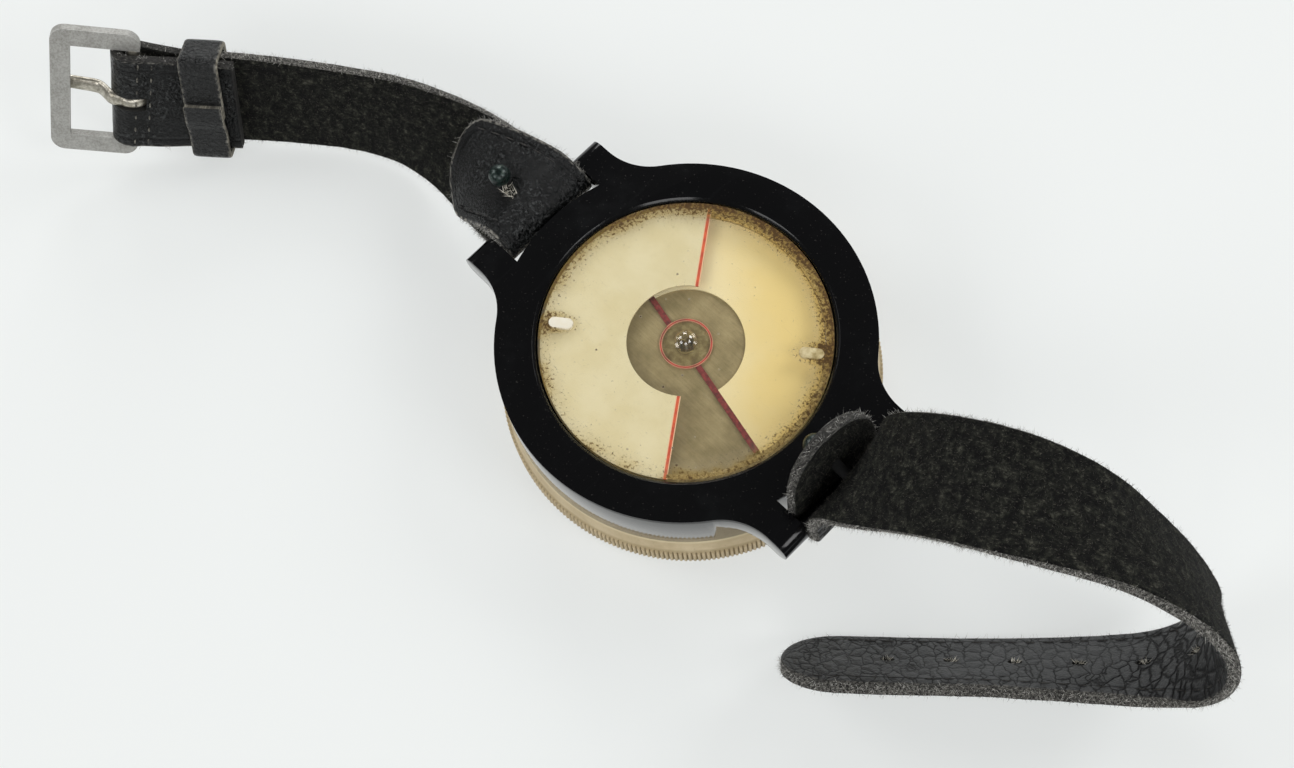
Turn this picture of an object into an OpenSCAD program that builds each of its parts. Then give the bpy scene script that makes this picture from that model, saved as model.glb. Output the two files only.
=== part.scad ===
// A liquid-filled compass worn on the wrist, lying face down on its turning bezel with both leather
// straps loose beside it. Millimetres. The compass axis is Z, the bezel's front face lies on Z = 0
// and the back of the housing faces up. The straps leave along X, the buckle strap towards -X.

/* [Housing] */
// Wall of the black body round the barrel
housing_wall = 4.2; // [3.6:0.1:5]
// Height of the black body, from the bezel to its back face
housing_h = 10.7; // [10:0.1:13]
// Thickness of the rim round the back window
rim_t = 3; // [2.4:0.1:3.4]
// Bevel on the outer edge of the rim's opening
opening_bevel = 0.5; // [0.2:0.1:0.8]

/* [Lugs] */
// Width across the two ears of a lug
lug_w = 28.7; // [26:0.1:32]
// Gap between the two ears
lug_gap = 18.4; // [18:0.1:19.6]
// Thickness of a lug
lug_t = 4.6; // [4:0.1:5.4]
// Radius of the flare from the body into an ear
lug_flare_r = 10; // [6:0.5:12]
// Reach of an ear's round end past the strap bar's centre
ear_reach = 1.75; // [1.4:0.05:2.4]
// Diameter of the fixed bar that a strap loops round
strap_bar_d = 2.4; // [2:0.1:2.8]

/* [Bezel] */
// Reach of the knurl past the black body
bezel_proud = 1; // [0.6:0.1:2]
// Height of the bezel
bezel_h = 8; // [7.4:0.1:10]
// Height of the knurled band
knurl_h = 3.8; // [3:0.1:5]
// Number of flutes in the knurl
knurl_n = 240; // [60:10:260]
// Depth of a flute
knurl_depth = 0.4; // [0.2:0.05:0.5]
// Bevel on the front edge of the knurl
bezel_bevel = 0.5; // [0.3:0.1:0.8]
// Thickness of the lip over the front crystal
lip_t = 0.9; // [0.6:0.1:1.2]
// Width of that lip over the crystal's edge
lip_w = 1.8; // [1.2:0.1:2.4]

/* [Capsule] */
// Outer diameter of the barrel that turns in the housing, which the other round pieces follow
barrel_d = 51; // [46:0.5:58]
// Wall of the barrel
barrel_wall = 1.4; // [1.2:0.1:2]
// Wall of the neck that carries the back window
neck_wall = 1.3; // [1:0.1:1.6]
// Width of the barrel's shoulder round the window
shoulder_w = 2.3; // [2:0.1:2.6]
// Thickness of the back window
window_t = 1.4; // [1.2:0.1:1.8]
// Depth of the window below the housing's back face
window_sink = 0.3; // [0.2:0.1:1]
// Thickness of the front crystal
crystal_t = 1.9; // [1.4:0.1:2.4]
// Thickness of the flat seals under the window and the crystal
seal_t = 0.3; // [0.2:0.05:0.5]
// Diameter of the clear dome in the middle of the window
dome_d = 3.3; // [2.8:0.1:4]
// Diameter of the steel pivot pin
pin_d = 1; // [0.8:0.1:1.2]

/* [Course marks] */
// Direction of the course line, from the hole strap
course_turn = 126; // [0:1:359]
// Diameter of the clear circle inside the half discs
clear_d = 18.6; // [14:0.2:22]
// Depth of the coloured inlays
inlay_t = 0.35; // [0.2:0.05:0.5]
// Width of the course line
course_line_w = 0.7; // [0.4:0.1:1.2]
// Length of a window peg
peg_l = 4; // [3:0.1:5]
// Width of a window peg
peg_w = 1.9; // [1.4:0.1:2.4]
// Distance of a peg's middle from the window's edge
peg_inset = 3.4; // [3:0.1:5]

/* [Card] */
// Direction that the card's line points, from the hole strap
card_turn = 167; // [0:1:359]
// Gap between the floating card and the wall round it
card_side_gap = 0.5; // [0.4:0.1:1]
// Thickness of the card
card_t = 0.7; // [0.5:0.1:1]
// Gap between the card's colours and the window
card_gap = 1; // [0.8:0.1:1.4]
// Width of the card's line
card_line_w = 0.9; // [0.5:0.1:1.4]
// Diameter of the red ring round the hub
card_ring_d = 7.6; // [7:0.1:11]
// Width of that ring
card_ring_w = 0.4; // [0.3:0.1:0.8]
// Diameter of the hub
hub_d = 3.2; // [3:0.1:3.6]
// Depth of the hub below the card
hub_h = 3.6; // [3.2:0.1:5]
// Diameter of the ring magnet
magnet_d = 8.2; // [7:0.1:8.4]
// Height of the ring magnet
magnet_h = 2.4; // [1.6:0.1:3]
// Thickness of the jewel
jewel_t = 0.8; // [0.6:0.1:1]

/* [Straps] */
// Thickness of the leather
strap_t = 2; // [1.8:0.1:2.2]
// Width of a strap in its lug
tongue_w = 17; // [15:0.1:17.6]
// Width of a strap along its run
strap_w = 17.6; // [16:0.1:17.8]
// Diameter of a stud's ball
stud_ball_d = 3.6; // [3:0.1:4.4]
// Diameter of a stud's neck
stud_neck_d = 1.8; // [1.4:0.1:2.2]
// Diameter of a stud's foot
stud_foot_d = 6; // [4.5:0.1:7]
// Thickness of a stud's foot
stud_foot_t = 0.8; // [0.6:0.1:1.2]
// Diameter of the holes in the hole strap
hole_d = 2; // [1.6:0.1:2.4]
// Number of holes
hole_n = 6; // [3:1:6]
// Spacing of the holes
hole_pitch = 9.5; // [8:0.5:10]

/* [Buckle] */
// Gap between the leather and a buckle arm
buckle_side_gap = 0.3; // [0.2:0.1:0.8]
// Width of the buckle's arms
buckle_arm_w = 3.2; // [2.6:0.1:4]
// Length from the bar to the buckle's outer end
buckle_l = 13.4; // [12:0.1:16]
// Width of the buckle's end bar
buckle_end_w = 3.2; // [2.6:0.1:4]
// Swing of the buckle from the strap's line, in degrees
buckle_swing = 8; // [0:1:20]
// Thickness of the buckle
buckle_t = 1.6; // [1.4:0.1:1.8]
// Radius of the buckle's outer corners
buckle_corner_r = 2.4; // [1:0.1:3]
// Diameter of the buckle's bar
buckle_bar_d = 2; // [1.8:0.1:2]
// Diameter of the prong's wire
prong_d = 1.6; // [1.2:0.1:1.8]
// Width of the keeper loop
keeper_w = 6.6; // [5:0.1:8]
// Thickness of the keeper's leather
keeper_t = 1.3; // [1:0.1:1.6]

/* [Hidden] */
$fn = 96;
// Overlap that joins the solids of one piece
weld = 0.2;
// Reach of a cutter past the piece that it cuts
past = 1;

// Clearances
turn_gap = 0.3;
pin_gap = 0.1;
inlay_gap = 0.05;
loop_gap = 0.2;
slot_gap = 0.4;

// Heights along the axis
housing_z = bezel_h + turn_gap;
back_z = housing_z + housing_h;
rim_z = back_z - rim_t;
window_top = back_z - window_sink;
window_z = window_top - window_t;
neck_top = window_z - seal_t;
shoulder_top = rim_z - slot_gap;
shoulder_t = 1.2;
barrel_z = lip_t + crystal_t + seal_t;
card_top = window_z - card_gap - inlay_t;
card_z = card_top - card_t;
magnet_z = card_z - magnet_h - inlay_gap;

// Radii
barrel_r = barrel_d / 2;
bore_r = barrel_r + turn_gap;
housing_r = bore_r + housing_wall;
bezel_r = housing_r + bezel_proud;
window_r = barrel_r - shoulder_w;
opening_r = window_r + turn_gap;
neck_in = window_r - neck_wall;
crystal_r = barrel_r - inlay_gap;
half_in = clear_d / 2;
half_out = window_r - turn_gap;
peg_r = window_r - peg_inset;
card_r = neck_in - card_side_gap;
card_half_out = card_r - turn_gap;

// The spring ring that holds the barrel in the housing
ring_h = 1;
ring_w = 1.5;
ring_split = 5;
ring_rise = 2.7;
ring_z = housing_z + ring_rise;
ring_in = barrel_r - slot_gap;
groove_r = ring_in - turn_gap;

// The strap bars, and the leather's loop round them
loop_in = strap_bar_d / 2 + loop_gap;
loop_mid = loop_in + strap_t / 2;
bar_x = housing_r + slot_gap + loop_in + strap_t;
bar_z = back_z - lug_t / 2;
ear_x = bar_x + ear_reach - lug_t / 2;

// A strap's route is a list of stations [x, y, z, aim, tilt, width], from its bar's centre. Aim is the
// direction of the strap's width in plan and tilt is its rise, both in degrees.
buckle_tongue = [[-18.6, -2.2, -4.4, 101, 43, 5], [-17.9, -2.1, -4.2, 101, 42, 10],
                 [-16.4, -1.8, -3.7, 100, 39, 14.6], [-13.6, -1.4, -2.4, 99, 34, tongue_w],
                 [-10, -0.8, -0.8, 97, 26, tongue_w], [-6, -0.3, 1, 93, 13, tongue_w],
                 [-2.6, 0, 2.2, 90, 3, tongue_w]];
buckle_run = [[-3.6, 0, -2.6, 90, 6, tongue_w], [-8.2, 0, -3.8, 94, 22, tongue_w],
              [-16, 0, -5.4, 101, 41, strap_w], [-24, -0.8, -6.5, 109, 56, strap_w],
              [-32, -3, -6.9, 117, 66, strap_w], [-39.6, -7, -7, 123, 70, strap_w],
              [-46.8, -11.8, -7.1, 125, 69, strap_w], [-53.8, -17, -7.1, 124, 67, strap_w],
              [-59.9, -22.3, -6.5, 122, 65, strap_w], [-63.7, -25.6, -6.1, 120, 64, strap_w],
              [-69.7, -30.4, -4.4, 109, 60, strap_w]];
hole_tongue = [[-4.2, 0, 15, 90, 0, 5], [-4.1, 0, 14.4, 90, 0, 8], [-3.85, 0, 12.9, 90, 0, 11.4],
               [-3.3, 0, 10, 90, 0, 15], [-2.75, 0, 6, 90, 0, tongue_w], [-2.4, 0, 2.4, 90, 0, tongue_w]];
hole_run = [[1.6, 0.1, 4, 92, 1, tongue_w], [2, 0.4, 8, 98, 4, tongue_w],
            [4.2, 1.2, 13, 108, 8, strap_w], [8.2, 2.6, 18.4, 115, 10, strap_w],
            [14, 4.6, 24, 117, 8, strap_w], [21.4, 7.4, 28, 117, 2, strap_w],
            [29.2, 10.6, 29.2, 121, -10, strap_w], [37, 14, 27.6, 130, -21, strap_w],
            [43.6, 16.6, 23.2, 138, -25, strap_w], [49.2, 18.6, 17.2, 142, -26, strap_w],
            [53.2, 19.4, 10.6, 140, -27, strap_w], [55.2, 18.8, 3.8, 132, -29, strap_w],
            [54.2, 16.4, -2.2, 123, -35, strap_w], [50.8, 12.2, -6, 120, -42, strap_w],
            [45, 6.8, -7.8, 123, -48, strap_w], [38.4, 0.8, -8.6, 129, -52, strap_w],
            [31.4, -5.6, -8.9, 135, -54, strap_w], [24.4, -12.2, -8.9, 140, -54, strap_w],
            [17.4, -18.6, -8.9, 143, -54, strap_w], [13.6, -22.2, -8.9, 144, -54, 15],
            [11.4, -24.3, -8.9, 144, -54, 9.4], [10.6, -25, -8.9, 144, -54, 4.6]];
// Rings between two stations
ring_steps = 3;
// Angle between the rings of a loop
loop_step = 15;

// Vector and route helpers
function unit(v) = v / norm(v);
function square_to(v, t) = unit(v - t * (v * t));
function place(s) = [s[0], s[1], s[2]];
function width_dir(s) = [cos(s[4]) * cos(s[3]), cos(s[4]) * sin(s[3]), sin(s[4])];
function between(a, b, c, d, u) =
    (2 * b + (c - a) * u + (2 * a - 5 * b + 4 * c - d) * u ^ 2 + (3 * b - a - 3 * c + d) * u ^ 3) / 2;
function smooth(s) = let (last = len(s) - 1)
    [for (i = [0 : last - 1], k = [0 : ring_steps - 1])
        between(s[max(i - 1, 0)], s[i], s[i + 1], s[min(i + 2, last)], k / ring_steps), s[last]];
function loop_round(from, to) = let (n = round(abs(to - from) / loop_step))
    [for (i = [0 : n]) let (a = from + (to - from) * i / n)
        [loop_mid * cos(a), 0, loop_mid * sin(a), 90, 0, tongue_w]];
function tail(s) = [for (i = [1 : len(s) - 1]) s[i]];
function run_dir(s, i) = unit(place(s[min(i + 1, len(s) - 1)]) - place(s[max(i - 1, 0)]));
function frame_at(s, i) = let (t = run_dir(s, i), w = square_to(width_dir(s[i]), t)) [t, w, cross(t, w)];
function ring_at(s, i) = let (f = frame_at(s, i), w = f[1] * s[i][5] / 2, n = f[2] * strap_t / 2)
    [place(s[i]) + w + n, place(s[i]) - w + n, place(s[i]) - w - n, place(s[i]) + w - n];
function run_length(s, i) = i == 0 ? 0 : run_length(s, i - 1) + norm(place(s[i]) - place(s[i - 1]));

// The hole strap's whole route, from its tongue round the bar to its tip
hole_route = concat(smooth(hole_tongue), loop_round(180, 375), tail(smooth(concat([loop_round(360, 375)[1]],
                    hole_run))));

// The buckle strap's run, and the axes of its end: along, across and through the leather
run = tail(smooth(concat([loop_round(-75, -90)[1]], buckle_run)));
run_end = len(run) - 1;
end_t = unit(place(run[run_end]) - place(run[run_end - 1]));
end_w = square_to(width_dir(run[run_end]), end_t);
end_n = cross(end_t, end_w);
fold_in = buckle_bar_d / 2 + slot_gap;
fold_mid = fold_in + strap_t / 2;
buckle_bar_at = place(run[run_end]) - end_n * fold_mid;
// The leather folds round the buckle's bar and lies back along its own run, which it is sewn to
stitch_gap = 0.4;
sewn_gap = strap_t + stitch_gap;
turned_rings = 8;
fold_slope = 0.7;
function lifted(s, i, d) = let (p = place(s[i]) - frame_at(s, i)[2] * d)
    [p[0], p[1], p[2], s[i][3], s[i][4], s[i][5]];
fold = [for (a = [90 - loop_step : -loop_step : -90])
        let (p = buckle_bar_at + fold_mid * (end_t * cos(a) + end_n * sin(a)))
        [p[0], p[1], p[2], run[run_end][3], run[run_end][4], strap_w]];
turned = [for (k = [1 : turned_rings])
          lifted(run, run_end - k, max(sewn_gap, 2 * fold_mid - k * fold_slope))];
buckle_route = concat(smooth(buckle_tongue), loop_round(90, -90), run, fold, turned);

// Studs: [station of the tongue, axis], from the strap bar's centre
buckle_stud_at = [-6.2, -0.3, 0.9];
buckle_stud_axis = unit([-0.3, -0.24, 0.92]);
hole_stud_at = [-2.83, 0, 6.6];
hole_stud_axis = unit([-1, 0, 0.06]);
// Reach of a stud from the middle of the tongue to its foot
buckle_stud_l = 6.1;
hole_stud_l = 6.5;
stud_lift = strap_t / 2 + slot_gap;

// Prong and slot sizes, and the gap between the buckle's arms
buckle_gap = strap_w + 2 * buckle_side_gap;
eye_in = buckle_bar_d / 2 + pin_gap;
eye_wall = 0.9;
eye_out = eye_in + eye_wall;
prong_side = 0.8;
prong_slot_w = prong_d + 2 * prong_side;
prong_slot_l = 5;
prong_foot_l = eye_in + prong_d / 2;
prong_tip_l = buckle_l - buckle_end_w / 2;
// Height of the prong's tip at which the wire clears the inner edge of the end bar
prong_rest = (buckle_t / 2 + prong_d / 2 + loop_gap) * (prong_tip_l - prong_foot_l)
             / (buckle_l - buckle_end_w - prong_foot_l);
// Reach of the arms past the bar, and the bar's tenons in them
arm_tail = 1.2;
tenon_d = buckle_bar_d / 2;
tenon_l = buckle_arm_w / 2;
// The keeper sits on one of the run's rings
keeper_ring = run_end - 6;
keeper_gap = 0.4;
// First hole's distance from the strap's tip
hole_first = 16;

// Move a solid built along Z so that it stands at a point with a given axis
module stand(at, axis) {
    translate(at) rotate([0, acos(axis[2]), atan2(axis[1], axis[0])]) children();
}

// Axes on the leather: X along the strap, Y across it, Z through it
module at_axes(o, f) {
    translate([-bar_x, 0, bar_z])
        multmatrix([[f[0][0], f[1][0], f[2][0], o[0]],
                    [f[0][1], f[1][1], f[2][1], o[1]],
                    [f[0][2], f[1][2], f[2][2], o[2]],
                    [0, 0, 0, 1]]) children();
}

// Axes on the buckle's bar, and the same axes swung with the buckle
module at_bar() {
    at_axes(buckle_bar_at, [end_t, end_w, end_n]) children();
}

module at_buckle() {
    at_bar() rotate([0, buckle_swing, 0]) children();
}

// A flat band of leather swept along a route
module band(route) {
    n = len(route);
    points = [for (i = [0 : n - 1]) each ring_at(route, i)];
    sides = [for (i = [0 : n - 2], k = [0 : 3]) let (a = 4 * i + k, b = 4 * i + (k + 1) % 4)
             each [[a, b, b + 4], [a, b + 4, a + 4]]];
    last = 4 * (n - 1);
    caps = [[0, 2, 1], [0, 3, 2], [last, last + 1, last + 2], [last, last + 2, last + 3]];
    polyhedron(points, concat(sides, caps), convexity = 10);
}

// A flat ring standing on z
module flat_ring(r_in, r_out, z, h) {
    translate([0, 0, z]) rotate_extrude() translate([r_in, 0]) square([r_out - r_in, h]);
}

// Half of a flat ring, on the +Y side
module half_ring(r_in, r_out, z, h) {
    translate([0, 0, z]) rotate_extrude(angle = 180) translate([r_in, 0]) square([r_out - r_in, h]);
}

// One straight mark each side of the centre, just below the X axis
module marks(r_in, r_out, w, z, h) {
    for (side = [0, 1]) mirror([side, 0, 0])
        translate([r_in, -w, z]) cube([r_out - r_in, w, h]);
}

// A pill-shaped block along X
module pill(l, w, h) {
    for (side = [-1, 1]) translate([side * (l - w) / 2, 0, 0]) cylinder(d = w, h = h);
    translate([-(l - w) / 2, -w / 2, 0]) cube([l - w, w, h]);
}

// Fillet from the round body into the side of an ear
module lug_flare() {
    c = [sqrt((housing_r + lug_flare_r) ^ 2 - (lug_w / 2 + lug_flare_r) ^ 2), lug_w / 2 + lug_flare_r];
    on_body = c * housing_r / (housing_r + lug_flare_r);
    difference() {
        polygon([[housing_r / 2, lug_gap / 2], on_body, c, [c[0], lug_gap / 2]]);
        translate(c) circle(lug_flare_r);
    }
}

// One ear with its flare and round end, on the +X +Y side
module ear() {
    ear_w = (lug_w - lug_gap) / 2;
    translate([0, 0, back_z - lug_t]) linear_extrude(lug_t) lug_flare();
    translate([housing_r / 2, lug_gap / 2, back_z - lug_t]) cube([ear_x - housing_r / 2, ear_w, lug_t]);
    translate([ear_x, lug_gap / 2, bar_z]) rotate([-90, 0, 0]) cylinder(d = lug_t, h = ear_w);
}

module housing() {
    color("#1a1a1b") {
        difference() {
            union() {
                translate([0, 0, housing_z]) cylinder(r = housing_r, h = housing_h);
                for (x = [0, 1], y = [0, 1]) mirror([x, 0, 0]) mirror([0, y, 0]) ear();
            }
            translate([0, 0, housing_z - past]) cylinder(r = bore_r, h = rim_z - housing_z + past);
            translate([0, 0, housing_z]) cylinder(r = opening_r, h = housing_h + past);
            translate([0, 0, back_z - opening_bevel])
                cylinder(r1 = opening_r, r2 = opening_r + opening_bevel + past, h = opening_bevel + past);
            flat_ring(bore_r - past, ring_in + ring_w + inlay_gap, ring_z - inlay_gap,
                      ring_h + 2 * inlay_gap);
        }
        for (x = [-bar_x, bar_x]) translate([x, -lug_gap / 2 - weld, bar_z])
            rotate([-90, 0, 0]) cylinder(d = strap_bar_d, h = lug_gap + 2 * weld);
    }
}

module retaining_ring() {
    color("#8c8f92") difference() {
        flat_ring(ring_in, ring_in + ring_w, ring_z, ring_h);
        translate([0, -ring_split / 2, ring_z - past]) cube([housing_r, ring_split, ring_h + 2 * past]);
    }
}

// The knurl is a star outline, and the smooth band above it leans in to the housing
module bezel_ring() {
    root_r = bezel_r - knurl_depth;
    core_r = root_r - pin_gap;
    knurl_top = bezel_bevel + knurl_h;
    turn = 360 / knurl_n;
    color("#ab966b") {
        rotate_extrude() polygon([[crystal_r - lip_w, 0], [core_r - bezel_bevel, 0],
            [core_r, bezel_bevel - pin_gap], [core_r, knurl_top + pin_gap],
            [housing_r - pin_gap, bezel_h], [barrel_r + inlay_gap, bezel_h],
            [barrel_r + inlay_gap, lip_t], [crystal_r - lip_w, lip_t]]);
        translate([0, 0, bezel_bevel]) linear_extrude(knurl_h) difference() {
            polygon([for (i = [0 : knurl_n - 1], k = [0, 0.5])
                (k == 0 ? bezel_r : root_r) * [cos((i + k) * turn), sin((i + k) * turn)]]);
            circle(root_r - 2 * past);
        }
    }
}

module capsule_barrel() {
    wall_in = barrel_r - barrel_wall;
    color("#2b2622") difference() {
        rotate_extrude() polygon([[wall_in, barrel_z], [barrel_r, barrel_z], [barrel_r, shoulder_top],
            [window_r, shoulder_top], [window_r, neck_top], [neck_in, neck_top],
            [neck_in, shoulder_top - shoulder_t], [wall_in, shoulder_top - shoulder_t]]);
        flat_ring(groove_r, barrel_r + past, ring_z - turn_gap, ring_h + 2 * turn_gap);
    }
}

module front_crystal() {
    color("#d8d6c8", 0.5) translate([0, 0, lip_t]) cylinder(r = crystal_r, h = crystal_t);
}

module crystal_seal() {
    color("#3a2f26") flat_ring(barrel_r - barrel_wall, crystal_r, lip_t + crystal_t, seal_t);
}

// Clear disc with a dome in its middle, the sockets of its inlays underneath and two pockets on top
module back_window() {
    dome_z = back_z - dome_d / 2 - inlay_gap;
    color("#e6dfc4", 0.5) difference() {
        union() {
            translate([0, 0, window_z]) cylinder(r = window_r, h = window_t);
            intersection() {
                translate([0, 0, dome_z]) sphere(d = dome_d);
                translate([0, 0, dome_z]) cylinder(d = dome_d + past, h = dome_d);
            }
        }
        rotate(course_turn) {
            half_ring(half_in - inlay_gap, half_out + inlay_gap, window_z - past, past + inlay_t);
            marks(half_in - inlay_gap, half_out + inlay_gap, course_line_w + inlay_gap, window_z - past,
                  past + inlay_t);
        }
        peg_places() translate([0, 0, window_z + 2 * inlay_t])
            pill(peg_l + 2 * inlay_gap, peg_w + 2 * inlay_gap, window_t);
        translate([0, 0, window_z - past]) cylinder(d = pin_d + 2 * inlay_gap, h = past + window_t);
    }
}

module peg_places() {
    for (side = [90, 270]) rotate(course_turn + side) translate([peg_r, 0, 0]) children();
}

module window_seal() {
    color("#6b5433") flat_ring(neck_in, window_r - inlay_gap, neck_top, seal_t);
}

module course_half() {
    color("#e0d5ae") rotate(course_turn) half_ring(half_in, half_out, window_z, inlay_t);
}

module course_line() {
    color("#c9512e") rotate(course_turn) marks(half_in, half_out, course_line_w, window_z, inlay_t);
}

module window_pegs() {
    color("#efe8d2") peg_places() translate([0, 0, window_z + 2 * inlay_t])
        pill(peg_l, peg_w, window_t - 2 * inlay_t + inlay_gap);
}

// Needle fixed in the window, its point towards the front
module pivot_pin() {
    tip_z = card_z - hub_h + jewel_t;
    point_h = pin_d;
    color("#b9bcc0") {
        translate([0, 0, tip_z + pin_gap]) cylinder(d1 = pin_gap, d2 = pin_d, h = point_h);
        translate([0, 0, tip_z + pin_gap + point_h])
            cylinder(d = pin_d, h = window_top - tip_z - pin_gap - point_h - inlay_gap);
    }
}

module card_disc() {
    color("#cfc8ae", 0.5) flat_ring(hub_d / 2 + inlay_gap, card_r, card_z, card_t);
}

module card_half() {
    color("#e8d594") rotate(card_turn - 180) half_ring(half_in, card_half_out, card_top, inlay_t);
}

module card_line() {
    ring_out = card_ring_d / 2 + card_ring_w;
    color("#8e2f2f") rotate(card_turn - 180) {
        flat_ring(card_ring_d / 2, ring_out, card_top, inlay_t);
        marks(ring_out - card_ring_w / 2, card_half_out, card_line_w, card_top, inlay_t);
    }
}

// Blind hub whose socket takes the pin, with the jewel at its bottom
module card_hub() {
    socket_d = pin_d + 2 * turn_gap;
    color("#b08d4a") difference() {
        translate([0, 0, card_z - hub_h - jewel_t]) cylinder(d = hub_d, h = hub_h + jewel_t + card_t);
        translate([0, 0, card_z - hub_h]) cylinder(d = socket_d, h = hub_h + card_t + past);
    }
}

module card_jewel() {
    socket_d = pin_d + 2 * turn_gap;
    color("#a8344a") translate([0, 0, card_z - hub_h])
        cylinder(d = socket_d - 2 * inlay_gap, h = jewel_t);
}

module card_magnet() {
    color("#7a5a35") flat_ring(hub_d / 2 + inlay_gap, magnet_d / 2, magnet_z, magnet_h);
}

// The leather, with its slot for the prong and its stud hole
module buckle_strap() {
    color("#232221") difference() {
        translate([-bar_x, 0, bar_z]) band(buckle_route);
        translate([-bar_x, 0, bar_z]) stud_bore(buckle_stud_at, buckle_stud_axis, buckle_stud_l);
        at_bar() translate([-prong_slot_l, -prong_slot_w / 2, -fold_mid - strap_t])
            cube([prong_slot_l + fold_mid + strap_t, prong_slot_w, 2 * fold_mid + 2 * strap_t]);
    }
}

module stud_bore(at, axis, l) {
    stand(at, axis) translate([0, 0, -l - past]) cylinder(d = stud_neck_d + 2 * loop_gap, h = l + 3 * past);
}

// Foot under the run, neck through both layers and ball over the tongue
module stud(at, axis, l) {
    color("#2d3a36") stand(at, axis) {
        translate([0, 0, -l - stud_foot_t]) cylinder(d = stud_foot_d, h = stud_foot_t);
        translate([0, 0, -l - weld]) cylinder(d = stud_neck_d, h = l + stud_lift + stud_ball_d / 2);
        translate([0, 0, stud_lift + stud_ball_d / 2]) sphere(d = stud_ball_d);
    }
}

module buckle_strap_stud() {
    translate([-bar_x, 0, bar_z]) stud(buckle_stud_at, buckle_stud_axis, buckle_stud_l);
}

module hole_strap_stud() {
    translate([bar_x, 0, bar_z]) stud(hole_stud_at, hole_stud_axis, hole_stud_l);
}

// Leather loop round the run and its turned end
module strap_keeper() {
    in_w = strap_w + 2 * keeper_gap;
    in_h = sewn_gap + strap_t + 2 * keeper_gap;
    color("#262524") at_axes(place(run[keeper_ring]), frame_at(run, keeper_ring))
        translate([-keeper_w / 2, 0, -sewn_gap / 2]) rotate([90, 0, 90]) linear_extrude(keeper_w)
            difference() {
                rounded_box(in_w + 2 * keeper_t, in_h + 2 * keeper_t, keeper_t);
                rounded_box(in_w, in_h, keeper_gap);
            }
}

// Rectangle with round corners, about its centre
module rounded_box(w, h, r) {
    square([w - 2 * r, h], center = true);
    square([w, h - 2 * r], center = true);
    for (x = [-1, 1], y = [-1, 1]) translate([x * (w / 2 - r), y * (h / 2 - r)]) circle(r);
}

// Flat frame open at the strap's side, its two arms drilled for the bar
module buckle_frame() {
    out_w = buckle_gap + 2 * buckle_arm_w;
    l = buckle_l + arm_tail;
    color("#b4b6b7") at_buckle() difference() {
        translate([buckle_l - l / 2, 0, -buckle_t / 2]) linear_extrude(buckle_t)
            rounded_box(l, out_w, buckle_corner_r);
        translate([-arm_tail - past, -buckle_gap / 2, -buckle_t])
            cube([buckle_l + arm_tail + past - buckle_end_w, buckle_gap, 2 * buckle_t]);
        across(buckle_gap + 2 * tenon_l + 2 * inlay_gap, tenon_d + 2 * inlay_gap);
    }
}

// A rod along the bar's line, centred on the strap
module across(l, d) {
    translate([0, -l / 2, 0]) rotate([-90, 0, 0]) cylinder(d = d, h = l);
}

// Rod between the arms, with a tenon into each
module buckle_bar() {
    color("#9a9c9e") at_buckle() {
        across(buckle_gap, buckle_bar_d);
        across(buckle_gap + 2 * tenon_l, tenon_d);
    }
}

// Wire with an eye round the bar, its point against the far face of the end bar
module buckle_prong() {
    from = [prong_foot_l, 0, 0];
    to = [prong_tip_l, 0, prong_rest];
    eye_w = prong_d - 2 * pin_gap;
    color("#b8b0a2") at_buckle() {
        rotate([90, 0, 0]) translate([0, 0, -eye_w / 2]) difference() {
            cylinder(r = eye_out, h = eye_w);
            translate([0, 0, -past]) cylinder(r = eye_in, h = eye_w + 2 * past);
        }
        stand(from, unit(to - from)) {
            cylinder(d = prong_d, h = norm(to - from));
            translate([0, 0, norm(to - from)]) cylinder(d1 = prong_d, d2 = prong_d / 2, h = prong_d / 2);
        }
    }
}

// The leather, with its row of holes and its stud hole
module hole_strap() {
    n = len(hole_route) - 1;
    total = run_length(hole_route, n);
    color("#232221") difference() {
        translate([bar_x, 0, bar_z]) band(hole_route);
        translate([bar_x, 0, bar_z]) stud_bore(hole_stud_at, hole_stud_axis, hole_stud_l);
        translate([bar_x, 0, bar_z]) for (k = [0 : hole_n - 1]) {
            s = total - hole_first - k * hole_pitch;
            i = len([for (j = [0 : n]) if (run_length(hole_route, j) < s) j]) - 1;
            f = frame_at(hole_route, i);
            at = place(hole_route[i]) + f[0] * (s - run_length(hole_route, i));
            stand(at, f[2]) translate([0, 0, -strap_t]) cylinder(d = hole_d, h = 2 * strap_t);
        }
    }
}

housing();
retaining_ring();
bezel_ring();
capsule_barrel();
front_crystal();
crystal_seal();
back_window();
window_seal();
course_half();
course_line();
window_pegs();
pivot_pin();
card_disc();
card_half();
card_line();
card_hub();
card_jewel();
card_magnet();
buckle_strap();
buckle_strap_stud();
strap_keeper();
buckle_frame();
buckle_bar();
buckle_prong();
hole_strap();
hole_strap_stud();
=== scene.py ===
"""Looks of a wrist compass that lies face down with its two leather straps loose beside it."""
import logging
import math
from contextlib import contextmanager
from dataclasses import dataclass, field
from enum import Enum, IntEnum
from typing import Any, Callable, ClassVar, Iterator, NamedTuple, Optional, Sequence, Union

import bmesh
import bpy
import numpy as np
from mathutils import Matrix, Vector
from mathutils import noise as lumps


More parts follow.
